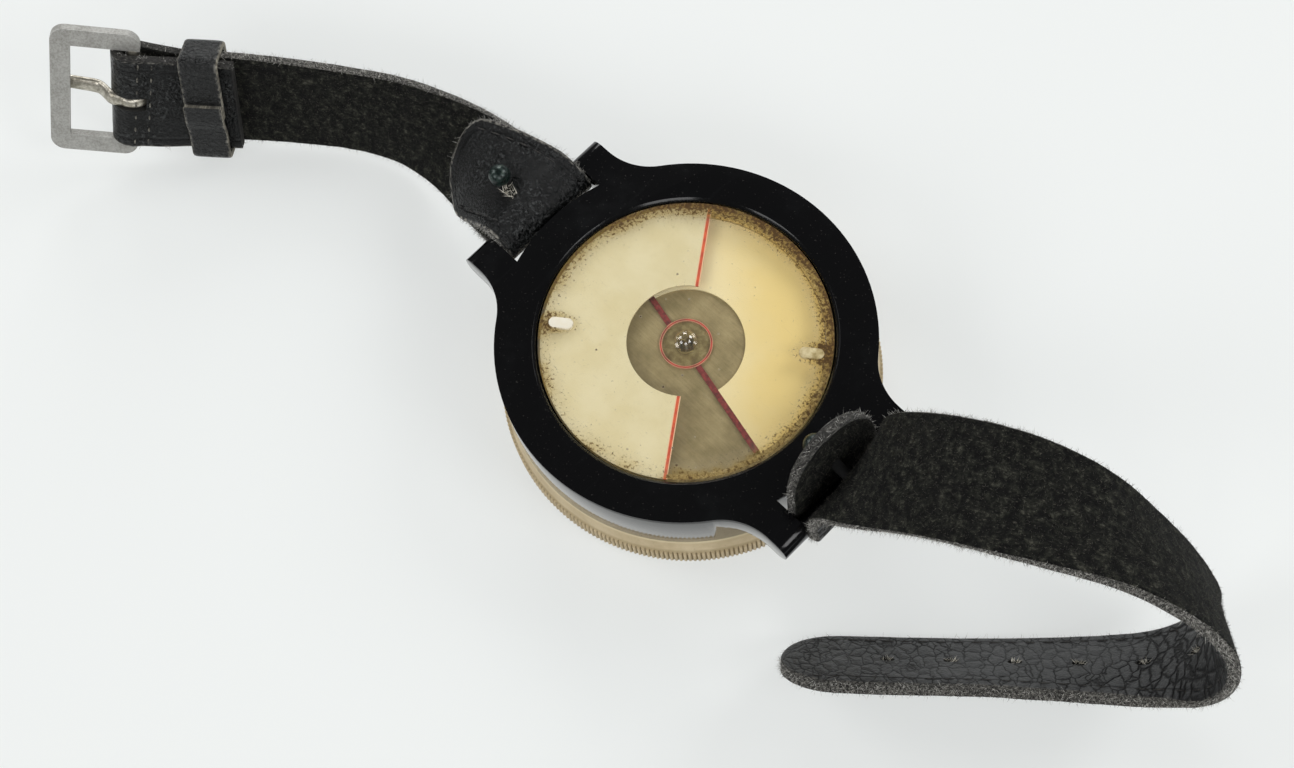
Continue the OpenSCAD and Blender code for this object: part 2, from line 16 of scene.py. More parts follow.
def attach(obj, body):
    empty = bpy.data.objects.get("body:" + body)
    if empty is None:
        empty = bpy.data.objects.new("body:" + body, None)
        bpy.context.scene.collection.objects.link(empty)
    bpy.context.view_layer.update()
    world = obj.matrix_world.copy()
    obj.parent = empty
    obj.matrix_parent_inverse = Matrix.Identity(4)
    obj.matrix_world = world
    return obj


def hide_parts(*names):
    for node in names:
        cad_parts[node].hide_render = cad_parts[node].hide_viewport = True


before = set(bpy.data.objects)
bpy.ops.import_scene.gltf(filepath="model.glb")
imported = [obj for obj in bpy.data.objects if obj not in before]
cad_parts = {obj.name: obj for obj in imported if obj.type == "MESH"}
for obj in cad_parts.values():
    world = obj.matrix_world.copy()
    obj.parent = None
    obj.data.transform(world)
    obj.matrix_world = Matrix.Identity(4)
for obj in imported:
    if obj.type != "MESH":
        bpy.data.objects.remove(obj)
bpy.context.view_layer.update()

MM = 0.001
MERGE = 1e-7
CAD_MERGE = 1e-6
LOG = logging.getLogger("wrist_compass")

Colour = tuple[float, float, float]
Sockets = dict[str, Any]
Station = Sequence[float]


def paint(code: str) -> Colour:
    """Linear colour of a six-digit display colour.

    Args:
        code: Red, green and blue as two hex digits each.

    Returns:
        The three linear parts.
    """
    parts = [int(code[i:i + 2], 16) / 255 for i in (0, 2, 4)]
    return tuple(p / 12.92 if p <= 0.04045 else ((p + 0.055) / 1.055) ** 2.4 for p in parts)


def operator(operation: str, reflected: bool = False) -> Callable[["Shade", Any], "Shade"]:
    """A method of Shade for one Python operator.

    Args:
        operation: Blender's name of the operation.
        reflected: Whether the Shade is the second value.

    Returns:
        The method.
    """
    def method(shade: "Shade", other: Any) -> "Shade":
        """Add the Math node."""
        return shade.math(operation, *((other, shade) if reflected else (shade, other)))

    return method


class Shade:
    """An output socket that adds a Math node when a Python operator meets it."""

    __add__, __radd__ = operator("ADD"), operator("ADD", True)
    __sub__, __rsub__ = operator("SUBTRACT"), operator("SUBTRACT", True)
    __mul__, __rmul__ = operator("MULTIPLY"), operator("MULTIPLY", True)
    __truediv__, __pow__ = operator("DIVIDE"), operator("POWER")

    def __init__(self, tree: "Tree", socket: Any) -> None:
        """Keep the tree and the socket."""
        self.tree = tree
        self.socket = socket

    def math(self, operation: str, first: Any, second: Any = None) -> "Shade":
        """Add one Math node.

        Args:
            operation: Blender's name of the operation.
            first: First value or Shade.
            second: Second value or Shade, where there is one.

        Returns:
            The result.
        """
        return self.tree.add("ShaderNodeMath", {"operation": operation}, {0: first, 1: second})

    def most(self, other: Any) -> "Shade":
        """The larger of two values."""
        return self.math("MAXIMUM", self, other)

    def least(self, other: Any) -> "Shade":
        """The smaller of two values."""
        return self.math("MINIMUM", self, other)

    def size(self) -> "Shade":
        """The value without its sign."""
        return self.math("ABSOLUTE", self)

    def rise(self, low: float, high: float) -> "Shade":
        """Smooth step from 0 at low to 1 at high."""
        return self.tree.add("ShaderNodeMapRange", {"interpolation_type": "SMOOTHSTEP"},
                             {0: self, 1: low, 2: high, 3: 0.0, 4: 1.0})


class Tree:
    """A node tree that nodes are added to by type, settings and sockets."""

    def __init__(self, tree: bpy.types.NodeTree) -> None:
        """Keep Blender's tree."""
        self.tree = tree

    def add(self, kind: str, settings: Optional[dict] = None, sockets: Optional[dict] = None,
            out: Union[int, str] = 0) -> Shade:
        """Add a node.

        Args:
            kind: Blender's type of node.
            settings: Properties set first; a ramp's stops are (position, colour) pairs.
            sockets: Values or Shades for the inputs, by index or name; None is left alone.
            out: Output to hand back.

        Returns:
            That output.
        """
        node = self.tree.nodes.new(kind)
        for key, value in (settings or {}).items():
            if key == "stops":
                self.set_stops(node.color_ramp, value)
            else:
                setattr(node, key, value)
        for key, value in (sockets or {}).items():
            if isinstance(value, Shade):
                self.tree.links.new(value.socket, node.inputs[key])
            elif value is not None:
                node.inputs[key].default_value = value
        return Shade(self, node.outputs[out])

    @staticmethod
    def set_stops(ramp: bpy.types.ColorRamp, stops: Sequence[tuple[float, Colour]]) -> None:
        """Give a colour ramp its stops.

        Args:
            ramp: The ramp.
            stops: Position and colour of each stop, in rising order.
        """
        while len(ramp.elements) > 1:
            ramp.elements.remove(ramp.elements[-1])
        for i, (position, colour) in enumerate(stops):
            element = ramp.elements[0] if i == 0 else ramp.elements.new(position)
            element.position = position
            element.color = (*colour, 1.0)

    def place(self) -> Shade:
        """Object coordinates, in metres."""
        return self.add("ShaderNodeTexCoord", out="Object")

    def along(self) -> Shade:
        """The strap's own map: round its section, and along its run."""
        return self.add("ShaderNodeUVMap", {"uv_map": "strap"})

    def mark(self, name: str) -> Shade:
        """A number kept on the mesh under a name."""
        return self.add("ShaderNodeAttribute", {"attribute_name": name}, out="Fac")

    def parts(self, vector: Shade) -> tuple[Shade, Shade, Shade]:
        """Take a vector apart.

        Args:
            vector: The vector.

        Returns:
            Its three parts.
        """
        first = self.add("ShaderNodeSeparateXYZ", None, {0: vector})
        outputs = first.socket.node.outputs
        return first, Shade(self, outputs[1]), Shade(self, outputs[2])

    def yellowed_and_painted_light(self, amount: Shade, near: Sequence[tuple[float, str]], far: Sequence[tuple[float, str]]) -> Shade:
        """Colour from a value, by a darker ramp on the window's near side and a paler one on its far side: painted
        shade and painted light, set to match the views beside it.
        """
        _, y, _ = self.parts(self.place())
        return self.mix(y.rise(-10 * MM, 6 * MM), self.ramp(amount, *near), self.ramp(amount, *far))

    def radius(self) -> Shade:
        """Distance from the compass axis, in millimetres."""
        x, y, _ = self.parts(self.place())
        return (x * x + y * y) ** 0.5 / MM

    def stretched(self, at: Shade, scale: Sequence[float]) -> Shade:
        """A pattern's place scaled by axis."""
        return self.add("ShaderNodeMapping", {"vector_type": "POINT"}, {"Vector": at, "Scale": scale})

    def stirred(self, at: Shade, size: float, amount: float) -> Shade:
        """A pattern's place pushed about by noise.

        Args:
            at: Place to push.
            size: Size of the swirls in millimetres.
            amount: Push in millimetres.

        Returns:
            The pushed place.
        """
        swirl = self.add("ShaderNodeTexNoise", None, {"Vector": at, "Scale": 1 / (size * MM), "Detail": 2.0}, 1)
        push = self.add("ShaderNodeVectorMath", {"operation": "MULTIPLY_ADD"},
                        {0: swirl, 1: (2 * amount * MM,) * 3, 2: (-amount * MM,) * 3})
        return self.add("ShaderNodeVectorMath", {"operation": "ADD"}, {0: at, 1: push})

    def noise(self, at: Shade, size: float, detail: float = 2.0, rough: float = 0.5) -> Shade:
        """Cloudy noise with lumps of a size in millimetres."""
        return self.add("ShaderNodeTexNoise", None, {"Vector": at, "Scale": 1 / (size * MM),
                                                     "Detail": detail, "Roughness": rough})

    def cells(self, at: Shade, size: float, feature: str = "DISTANCE_TO_EDGE") -> Shade:
        """Cracked or pebbled cells of a size in millimetres."""
        return self.add("ShaderNodeTexVoronoi", {"feature": feature}, {"Vector": at, "Scale": 1 / (size * MM)})

    def ramp(self, amount: Shade, *stops: tuple[float, str]) -> Shade:
        """Colour from a value, by stops of position and display colour."""
        return self.add("ShaderNodeValToRGB", {"stops": [(p, paint(c)) for p, c in stops]}, {0: amount})

    def mix(self, amount: Shade, first: Any, second: Any) -> Shade:
        """Colour between two colours, each a Shade or a display colour."""
        ends = [c if isinstance(c, Shade) else (*paint(c), 1.0) for c in (first, second)]
        return self.add("ShaderNodeMix", {"data_type": "RGBA"}, {0: amount, 6: ends[0], 7: ends[1]}, 2)

    def bump(self, height: Shade, depth: float, below: Optional[Shade] = None) -> Shade:
        """Normal of a relief that is depth millimetres deep."""
        return self.add("ShaderNodeBump", None, {"Strength": 1.0, "Distance": depth * MM, "Height": height,
                                                 "Normal": below})


MADE: dict[str, bpy.types.Material] = {}


@dataclass(frozen=True)
class Finish:
    """A surface finish. Each kind says what feeds the shader's sockets."""

    name: str

    def sockets(self, tree: Tree) -> Sockets:
        """Values and Shades for the Principled shader's sockets.

        Args:
            tree: Tree to add to.

        Returns:
            What feeds each socket.
        """
        raise NotImplementedError

    def material(self) -> bpy.types.Material:
        """The material, made once.

        Returns:
            Blender's material.
        """
        if self.name not in MADE:
            made = bpy.data.materials.new(self.name)
            made.use_nodes = True
            made.node_tree.nodes.clear()
            tree = Tree(made.node_tree)
            shader = tree.add("ShaderNodeBsdfPrincipled", None, self.sockets(tree))
            surface = made.node_tree.nodes.new("ShaderNodeOutputMaterial")
            made.node_tree.links.new(shader.socket, surface.inputs[0])
            MADE[self.name] = made
        return MADE[self.name]


@dataclass(frozen=True)
class BlackMoulding(Finish):
    """Polished black moulding with a little dust, glossier on its upright walls."""

    wall_top: float = 18.4
    wall_gloss: float = 0.64

    def sockets(self, tree: Tree) -> Sockets:
        """Near black, greyer where dust lies, with a clear gloss below the top face.

        Args:
            tree: Tree to add to.

        Returns:
            What feeds each socket.
        """
        at = tree.place()
        _, _, z = tree.parts(at)
        dust = tree.noise(at, 7, 5, 0.62).rise(0.5, 0.75)
        specks = tree.noise(at, 0.35, 1).rise(0.7, 0.76)
        scuff = tree.noise(tree.stretched(at, (1.0, 0.12, 0.3)), 1.3, 4, 0.7).rise(0.6, 0.74)
        colour = tree.mix(dust * 0.5 + scuff * 0.2, "080809", "131415")
        return {"Base Color": tree.mix(specks * 0.2, colour, "55534E"),
                "Roughness": 0.13 + dust * 0.05 + specks * 0.1 + scuff * 0.05,
                "Specular IOR Level": 0.32,
                "Coat Weight": (1 - z.rise((self.wall_top - 0.6) * MM, self.wall_top * MM)) * self.wall_gloss,
                "Coat Roughness": 0.06, "Coat IOR": 1.6,
                "Normal": tree.bump(tree.noise(at, 0.9, 3) + scuff * 0.3, 0.012)}


@dataclass(frozen=True)
class BarrelMoulding(Finish):
    """Black barrel whose neck is stained yellow inside, under the window's edge, with painted shade on the window's
    near side and painted light on its far side.
    """

    neck_r: float = 22.6

    def sockets(self, tree: Tree) -> Sockets:
        """Black outside, stained yellow inside the neck, darker there on the near side as painted shade and paler on
        the far side as painted light.

        Args:
            tree: Tree to add to.

        Returns:
            What feeds each socket.
        """
        at = tree.place()
        stain = tree.noise(at, 0.7, 4, 0.65)
        inside = 1 - tree.radius().rise(self.neck_r, self.neck_r + 0.2)
        # Painted shade and painted light: the neck's darker near-side ramp and paler far-side ramp are set to match
        # the views beside it.
        neck = tree.yellowed_and_painted_light(stain, ((0.35, "7E6C46"), (0.5, "9A8759"), (0.68, "B09C6A")),
                             ((0.35, "8E7642"), (0.5, "C4AA6C"), (0.64, "DFC788")))
        return {"Base Color": tree.mix(inside, "141313", neck), "Roughness": 0.4 + stain * 0.3,
                "Normal": tree.bump(stain, 0.03)}


class TanMoulding(Finish):
    """Tan moulding with dirt in its flutes and a paler top edge."""

    def sockets(self, tree: Tree) -> Sockets:
        """Mottled tan, darkened by the flute mark on the mesh.

        Args:
            tree: Tree to add to.

        Returns:
            What feeds each socket.
        """
        at = tree.place()
        mottle = tree.noise(at, 5, 4, 0.6)
        specks = tree.noise(at, 0.4, 2).rise(0.64, 0.74)
        _, _, z = tree.parts(at)
        colour = tree.ramp(mottle, (0.3, "B39F77"), (0.5, "C1AE88"), (0.72, "CFBD99"))
        edge = z.rise(7.35 * MM, 7.75 * MM)
        colour = tree.mix(edge * 0.75, colour, "D6C8A4")
        dirt = (tree.mark("flute") * (0.6 + 0.5 * mottle)).least(1.0)
        colour = tree.mix(dirt * 0.7, colour, "62512F")
        return {"Base Color": tree.mix(specks * 0.25, colour, "7E6A45"),
                "Roughness": 0.4 + mottle * 0.2 + dirt * 0.2,
                "Normal": tree.bump(tree.noise(at, 0.5, 3), 0.03)}


@dataclass(frozen=True)
class Pane(Finish):
    """Aged clear plastic: a faint veil, fine scratches, and grime at the rim and round the pegs."""

    clean: float = 0.03
    grime: float = 1.0
    rim: float = 23.2
    peg_r: float = 19.8
    peg_turn: float = 36.0

    def sockets(self, tree: Tree) -> Sockets:
        """Alpha carries the veil and the grime.

        Args:
            tree: Tree to add to.

        Returns:
            What feeds each socket.
        """
        at = tree.place()
        x, y, _ = tree.parts(at)
        c, k = math.cos(math.radians(self.peg_turn)), math.sin(math.radians(self.peg_turn))
        out = ((x * c + y * k).size() / MM - self.peg_r) / 2.7
        side = (y * c - x * k) / (1.6 * MM)
        by_pegs = 1 - ((out * out + side * side) ** 0.5).rise(0.9, 1.55)
        clouds = tree.noise(at, 4.5, 4, 0.6)
        uneven = 0.7 + y * (0.28 / (self.rim * MM)) + (clouds - 0.5) * 1.3
        ring = tree.radius().rise(self.rim - 4.6, self.rim - 0.1)
        near = (ring * uneven + by_pegs * 0.42).least(1.0).most(0.0)
        grit = tree.noise(at, 0.55, 4, 0.75)
        specks = (grit + near * 0.24).rise(0.66, 0.71)
        spots = (1 - tree.cells(at, 2.3, "F1").rise(0.06, 0.12)) * tree.noise(at, 6, 2).rise(0.5, 0.62)
        haze = (near * near * (0.45 + grit)).least(1.0)
        dark = (specks * 0.9 + spots).least(1.0)
        scratch = tree.noise(tree.stretched(at, (0.06, 1.0, 1.0)), 0.22, 2).rise(0.68, 0.74)
        colour = tree.ramp(haze, (0.0, "E9E3CE"), (0.25, "C9AC66"), (0.8, "8F6F38"))
        return {"Base Color": tree.mix(dark, colour, "3E2707"),
                "Roughness": 0.14 + scratch * 0.3 + haze * 0.3 + dark * 0.3,
                "IOR": 1.49, "Specular IOR Level": 0.3,
                "Alpha": (self.clean + scratch * 0.05 + (haze * 0.7 + dark * 0.8) * self.grime).least(0.95),
                "Normal": tree.bump(scratch, 0.01)}


class GlassBead(Finish):
    """Clear bead of the window's dome."""

    def sockets(self, tree: Tree) -> Sockets:
        """Thin and clear, with a bright skin and a trace of scuffing.

        Args:
            tree: Tree to add to.

        Returns:
            What feeds each socket.
        """
        return {"Base Color": (*paint("F4F1E6"), 1.0), "Transmission Weight": 1.0, "IOR": 1.15,
                "Coat Weight": 1.0, "Coat IOR": 2.0, "Coat Roughness": 0.02,
                "Roughness": tree.noise(tree.place(), 0.8, 3) * 0.06}


@dataclass(frozen=True)
class Enamel(Finish):
    """Painted or dyed layer that has mottled with age."""

    pale: str
    deep: str
    lump: float = 2.2

    def sockets(self, tree: Tree) -> Sockets:
        """Two tones of one colour, with darker specks.

        Args:
            tree: Tree to add to.

        Returns:
            What feeds each socket.
        """
        at = tree.place()
        clouds = tree.noise(at, self.lump, 4, 0.6)
        specks = tree.noise(at, 0.3, 2).rise(0.68, 0.76)
        colour = tree.mix(clouds.rise(0.3, 0.7), self.pale, self.deep)
        return {"Base Color": tree.mix(specks * 0.4, colour, "5E4A2E"),
                "Roughness": 0.5 + clouds * 0.2,
                "Normal": tree.bump(tree.noise(at, 0.4, 2), 0.01)}


class AgedYellow(Finish):
    """Pale yellow layer that has darkened towards one side."""

    def sockets(self, tree: Tree) -> Sockets:
        """Pale by the course line, deeper towards the far edge.

        Args:
            tree: Tree to add to.

        Returns:
            What feeds each socket.
        """
        at = tree.place()
        x, y, _ = tree.parts(at)
        clouds = tree.noise(at, 7, 3, 0.55)
        drift = ((x + y) / (math.sqrt(2) * MM) + clouds * 8).rise(1, 20)
        specks = tree.noise(at, 0.3, 2).rise(0.72, 0.78)
        return {"Base Color": tree.mix(specks * 0.3, tree.mix(drift, "EEE2B8", "E8CE84"), "8A6C38"),
                "Roughness": 0.5 + clouds * 0.2}


@dataclass(frozen=True)
class CourseOrange(Finish):
    """Orange-red line with peach edges."""

    turn: float = 126.0
    width: float = 0.7

    def sockets(self, tree: Tree) -> Sockets:
        """Orange along the middle of the line.

        Args:
            tree: Tree to add to.

        Returns:
            What feeds each socket.
        """
        at = tree.place()
        x, y, _ = tree.parts(at)
        c, k = math.cos(math.radians(self.turn)), math.sin(math.radians(self.turn))
        off = ((y * c - x * k) / MM + self.width / 2).size()
        streak = tree.noise(at, 0.9, 3)
        core = tree.mix(streak.rise(0.35, 0.65), "D9592F", "BE4324")
        return {"Base Color": tree.mix(off.rise(0.17, 0.28), core, "E9BD94"), "Roughness": 0.5 + streak * 0.1}


@dataclass(frozen=True)
class CardRed(Finish):
    """Dark red line, and a brighter ring with a pink outer edge."""

    ring_r: float = 4.0

    def sockets(self, tree: Tree) -> Sockets:
        """Streaky dark red outside the ring.

        Args:
            tree: Tree to add to.

        Returns:
            What feeds each socket.
        """
        at = tree.place()
        r = tree.radius()
        streak = tree.noise(at, 0.7, 4, 0.65)
        line = tree.ramp(streak, (0.32, "43100F"), (0.5, "72201F"), (0.68, "8E302D"))
        core = tree.ramp(tree.noise(at, 3.2, 1), (0.42, "7C2A20"), (0.6, "BC3A2E"))
        loop = tree.mix((r - self.ring_r).size().rise(0.06, 0.15), core, "C48B6C")
        return {"Base Color": tree.mix(r.rise(self.ring_r + 0.2, self.ring_r + 0.3), loop, line),
                "Roughness": 0.45 + streak * 0.15}


class PegPlastic(Finish):
    """One peg still ivory, the other gone yellow and dull."""

    def sockets(self, tree: Tree) -> Sockets:
        """Ivory on the buckle strap's side.

        Args:
            tree: Tree to add to.

        Returns:
            What feeds each socket.
        """
        at = tree.place()
        x, _, _ = tree.parts(at)
        clouds = tree.noise(at, 1.2, 4, 0.6)
        ivory = tree.mix(clouds, "F3EEE0", "E6DDC4")
        dull = tree.ramp(clouds, (0.38, "9C8858"), (0.5, "C4B283"), (0.66, "DCCDA2"))
        return {"Base Color": tree.mix(x.rise(-MM, MM), ivory, dull), "Roughness": 0.34 + clouds * 0.2}


@dataclass(frozen=True)
class HazyShadedCard(Finish):
    """Yellowed clear card in old liquid, rust-stained inside its ring; its olive grey is partly painted shade for the
    dim view through it.
    """

    ring_r: float = 3.8

    def sockets(self, tree: Tree) -> Sockets:
        """Olive grey with faint brush lines, brown inside the ring; the olive grey and the high alpha are partly
        painted shade.

        Args:
            tree: Tree to add to.

        Returns:
            What feeds each socket.
        """
        at = tree.place()
        clouds = tree.noise(at, 4, 4, 0.6)
        brushed = tree.noise(tree.stretched(at, (0.08, 1.0, 1.0)), 0.3, 3, 0.6)
        # Painted shade: the olive grey stands partly for the yellowed card and liquid, and partly for the dim view
        # through the card into the shaded capsule.
        haze = tree.ramp(clouds * 0.7 + brushed * 0.3, (0.36, "81734B"), (0.5, "928259"), (0.66, "A39368"))
        rust = tree.noise(at, 1.9, 4, 0.6)
        stain = tree.ramp(rust, (0.3, "5A4824"), (0.47, "7B6B40"), (0.6, "94865A"), (0.75, "86652F"))
        inside = 1 - tree.radius().rise(self.ring_r - 0.2, self.ring_r + 0.1)
        return {"Base Color": tree.mix(inside, haze, stain), "Roughness": 0.4 + clouds * 0.2,
                # Nearly opaque, so that the painted shade hides what lies beneath.
                "Alpha": 0.88 + clouds * 0.14}


class RustySteel(Finish):
    """Magnet steel gone brown."""

    def sockets(self, tree: Tree) -> Sockets:
        """Brown, olive and orange patches.

        Args:
            tree: Tree to add to.

        Returns:
            What feeds each socket.
        """
        at = tree.place()
        patches = tree.noise(at, 1.1, 5, 0.65)
        return {"Base Color": tree.ramp(patches, (0.3, "4A3520"), (0.5, "7A5A35"), (0.62, "8C7A4C"),
                                        (0.78, "A5642F")),
                "Metallic": patches.rise(0.55, 0.35) * 0.4,
                "Roughness": 0.55 + patches * 0.35,
                "Normal": tree.bump(patches, 0.12)}


@dataclass(frozen=True)
class Metal(Finish):
    """Bare metal, satin to matte, with fine sparkle and dull stains."""

    pale: str
    deep: str
    rough: float = 0.3
    grain: float = 0.3
    bare: float = 1.0

    def sockets(self, tree: Tree) -> Sockets:
        """Two tones with sparkling grain.

        Args:
            tree: Tree to add to.

        Returns:
            What feeds each socket.
        """
        at = tree.place()
        stain = tree.noise(at, 3, 5, 0.62)
        sparkle = tree.noise(at, self.grain, 2, 0.7)
        share = stain.rise(0.35, 0.7) * 0.4 + sparkle.rise(0.35, 0.65) * 0.6
        return {"Base Color": tree.mix(share, self.pale, self.deep),
                "Metallic": self.bare,
                "Roughness": self.rough + stain * 0.14 + sparkle * 0.18,
                "Normal": tree.bump(sparkle, 0.03)}


class StudGloss(Finish):
    """Green-black lacquer on a button stud."""

    def sockets(self, tree: Tree) -> Sockets:
        """Dark green with brighter worn patches.

        Args:
            tree: Tree to add to.

        Returns:
            What feeds each socket.
        """
        at = tree.place()
        wear = tree.noise(at, 0.8, 4, 0.6)
        return {"Base Color": tree.ramp(wear, (0.35, "101A18"), (0.6, "22322E"), (0.75, "5C665C")),
                "Roughness": 0.16 + wear * 0.25, "Metallic": 0.35,
                "Normal": tree.bump(wear, 0.03)}


@dataclass(frozen=True)
class GrainLeather(Finish):
    """Black grain side: a network of cracks that opens at the bends, pebbling, a sewn margin, and painted glints on
    the crinkled grain.
    """

    cell: float = 2.1
    crack: float = 1.0
    pale: str = "323334"
    deep: str = "1F2021"
    rough: float = 0.42
    pebble: float = 0.03
    opening: float = 1.0
    worn: float = 0.5
    gloss: float = 0.4
    # Depth of the crinkle relief, and strength of the painted glints on it.
    crinkle_and_glints: float = 0.0

    def sockets(self, tree: Tree) -> Sockets:
        """Cracks and the sewn groove are relief as well as colour.

        Args:
            tree: Tree to add to.

        Returns:
            What feeds each socket.
        """
        at = tree.along()
        bend = tree.mark("bend").rise(0.02, 0.1) * self.opening
        shaken = tree.stirred(at, 1.6, 0.6)
        net = tree.cells(tree.stretched(shaken, (0.58, 1.15, 1.0)), self.cell)
        fine = tree.cells(tree.stirred(at, 0.5, 0.12), 0.9)
        patchy = tree.noise(at, 9, 2)
        deepness = (0.42 + patchy.rise(0.36, 0.62) * 0.58 + bend).least(1.0) * self.crack
        cracks = (1 - (net / (0.06 + bend * 0.1)).rise(0.0, 1.0)) * deepness
        veins = (1 - fine.rise(0.0, 0.14)) * (0.4 * self.crack)
        rim = tree.mark("rim")
        groove = rim.rise(1.45, 1.75) * (1 - rim.rise(1.95, 2.3))
        scuffs = tree.noise(at, 0.8, 3).rise(0.4, 0.68) * tree.mark("pale").most(1.0)
        worn = ((1 - rim.rise(0.1, 0.6)) * scuffs * self.worn).least(1.0)
        colour = tree.mix(tree.noise(at, 4, 4, 0.65).rise(0.3, 0.72), self.deep, self.pale)
        colour = tree.mix(worn, colour, "8A877F")
        specks = tree.noise(at, 0.3, 2).rise(0.7, 0.78)
        colour = tree.mix(specks * 0.2, colour, "7A7872")
        # Painted highlight: pale patches on the crinkled grain stand in for glints of light; the crinkle amount sets
        # both the relief and these painted glints.
        painted_glints = tree.noise(tree.stirred(at, 1.2, 0.5), 0.62, 3, 0.7).rise(0.5, 0.66) * patchy.rise(0.36, 0.6)
        colour = tree.mix(painted_glints * (self.crinkle_and_glints * 0.65), colour, "585A5A")
        colour = tree.mix((cracks * 0.85 + veins * 0.4 + groove * 0.5).least(1.0), colour, "090909")
        height = net.rise(0.0, 0.35) * (0.6 * self.crack) - cracks - veins * 0.3 - groove * 0.7
        height = height + fine.rise(0.0, 0.4) * patchy.rise(0.38, 0.6) * self.crinkle_and_glints
        pebbles = tree.bump(tree.noise(at, 0.45, 3, 0.6), self.pebble)
        return {"Base Color": colour,
                "Roughness": self.rough + cracks * 0.3 + patchy * 0.12,
                "Specular IOR Level": self.gloss,
                "Normal": tree.bump(height, 0.28, pebbles)}


class Suede(Finish):
    """Fuzzy flesh side with pale flecks."""

    def sockets(self, tree: Tree) -> Sockets:
        """Charcoal nap, in soft patches.

        Args:
            tree: Tree to add to.

        Returns:
            What feeds each socket.
        """
        at = tree.along()
        nap = tree.noise(tree.stretched(at, (1.0, 0.6, 1.0)), 0.5, 4, 0.75)
        tufts = tree.noise(tree.stirred(at, 3, 0.8), 1.7, 4, 0.7)
        clouds = tree.noise(at, 6, 3, 0.6)
        fleck = tree.noise(tree.stretched(at, (1.0, 0.5, 1.0)), 0.32, 2, 0.6).rise(0.63, 0.7)
        colour = tree.ramp(nap * 0.4 + tufts * 0.6, (0.4, "030303"), (0.48, "0E0F0D"), (0.56, "262721"),
                           (0.67, "55544B"))
        colour = tree.mix(clouds.rise(0.4, 0.72) * 0.5, colour, "121211")
        return {"Base Color": tree.mix(fleck * tufts * 0.6, colour, "747066"),
                "Roughness": 0.9 + nap * 0.08,
                "Specular IOR Level": 0.2,
                "Normal": tree.bump(nap + tufts, 0.4)}


@dataclass(frozen=True)
class CutEdge(Finish):
    """Raw cut edge of leather: grey fibres, paler where the mesh is marked as frayed."""

    pale: str = "86847D"
    deep: str = "181716"
    even: float = 0.25

    def sockets(self, tree: Tree) -> Sockets:
        """Coarse fibres in two tones.

        Args:
            tree: Tree to add to.

        Returns:
            What feeds each socket.
        """
        at = tree.along()
        fibre = tree.noise(tree.stretched(at, (1.0, 0.75, 1.0)), 0.36, 4, 0.78)
        clumps = tree.noise(at, 2.4, 3, 0.6)
        frayed = tree.mark("pale") * (1 - self.even) + self.even
        colour = tree.mix(fibre.rise(0.42, 0.66) * frayed, self.deep, self.pale)
        return {"Base Color": tree.mix(clumps.rise(0.46, 0.66) * 0.6, colour, "242321"),
                "Roughness": 0.9,
                "Normal": tree.bump(fibre, 0.3)}


@dataclass(frozen=True)
class Fibre(Finish):
    """Loose leather fibres and sewing thread."""

    pale: str
    deep: str

    def sockets(self, tree: Tree) -> Sockets:
        """Two tones along the strands.

        Args:
            tree: Tree to add to.

        Returns:
            What feeds each socket.
        """
        lumpy = tree.noise(tree.place(), 0.5, 2)
        return {"Base Color": tree.mix(lumpy.rise(0.35, 0.65), self.deep, self.pale), "Roughness": 0.85}


class Perished(Finish):
    """Seal that has gone yellow-brown and crumbly, darker on the window's near side as painted shade and paler on its
    far side as painted light.
    """

    def sockets(self, tree: Tree) -> Sockets:
        """Yellow-brown crumbs with darker cracks; the near and far tones are painted shade and painted light.

        Args:
            tree: Tree to add to.

        Returns:
            What feeds each socket.
        """
        at = tree.place()
        crumbs = tree.noise(at, 0.5, 5, 0.7)
        cracks = 1 - tree.cells(at, 0.9).rise(0.0, 0.12)
        # Painted shade and painted light: the seal's darker near-side ramp and paler far-side ramp are set to match
        # the views beside it.
        colour = tree.yellowed_and_painted_light(crumbs, ((0.34, "7C6942"), (0.48, "9A8658"), (0.66, "B29D6B")),
                               ((0.34, "8A723E"), (0.48, "C0A668"), (0.64, "DBC384")))
        return {"Base Color": tree.mix(cracks * 0.3, colour, "5E4B26"), "Roughness": 0.85,
                "Normal": tree.bump(crumbs - cracks * 0.5, 0.1)}


class Tabletop(Finish):
    """Plain pale floor, shown to the camera, in metal and through glass with a fainter shadow."""

    def sockets(self, tree: Tree) -> Sockets:
        """White paper with the faintest tooth.

        Args:
            tree: Tree to add to.

        Returns:
            What feeds each socket.
        """
        camera, mirrored, through = (tree.add("ShaderNodeLightPath", out=f"Is {ray} Ray")
                                     for ray in ("Camera", "Glossy", "Transmission"))
        seen = (camera + mirrored + through).least(1.0)
        paper = tree.mix(tree.noise(tree.place(), 30, 3), "EDEFEE", "F0F1F0")
        return {"Base Color": tree.mix(seen, paper, "A6A8A7"), "Roughness": 0.75, "Specular IOR Level": 0.2,
                "Emission Color": tree.mix(seen, "000000", "B8BAB9"), "Emission Strength": 1.0}


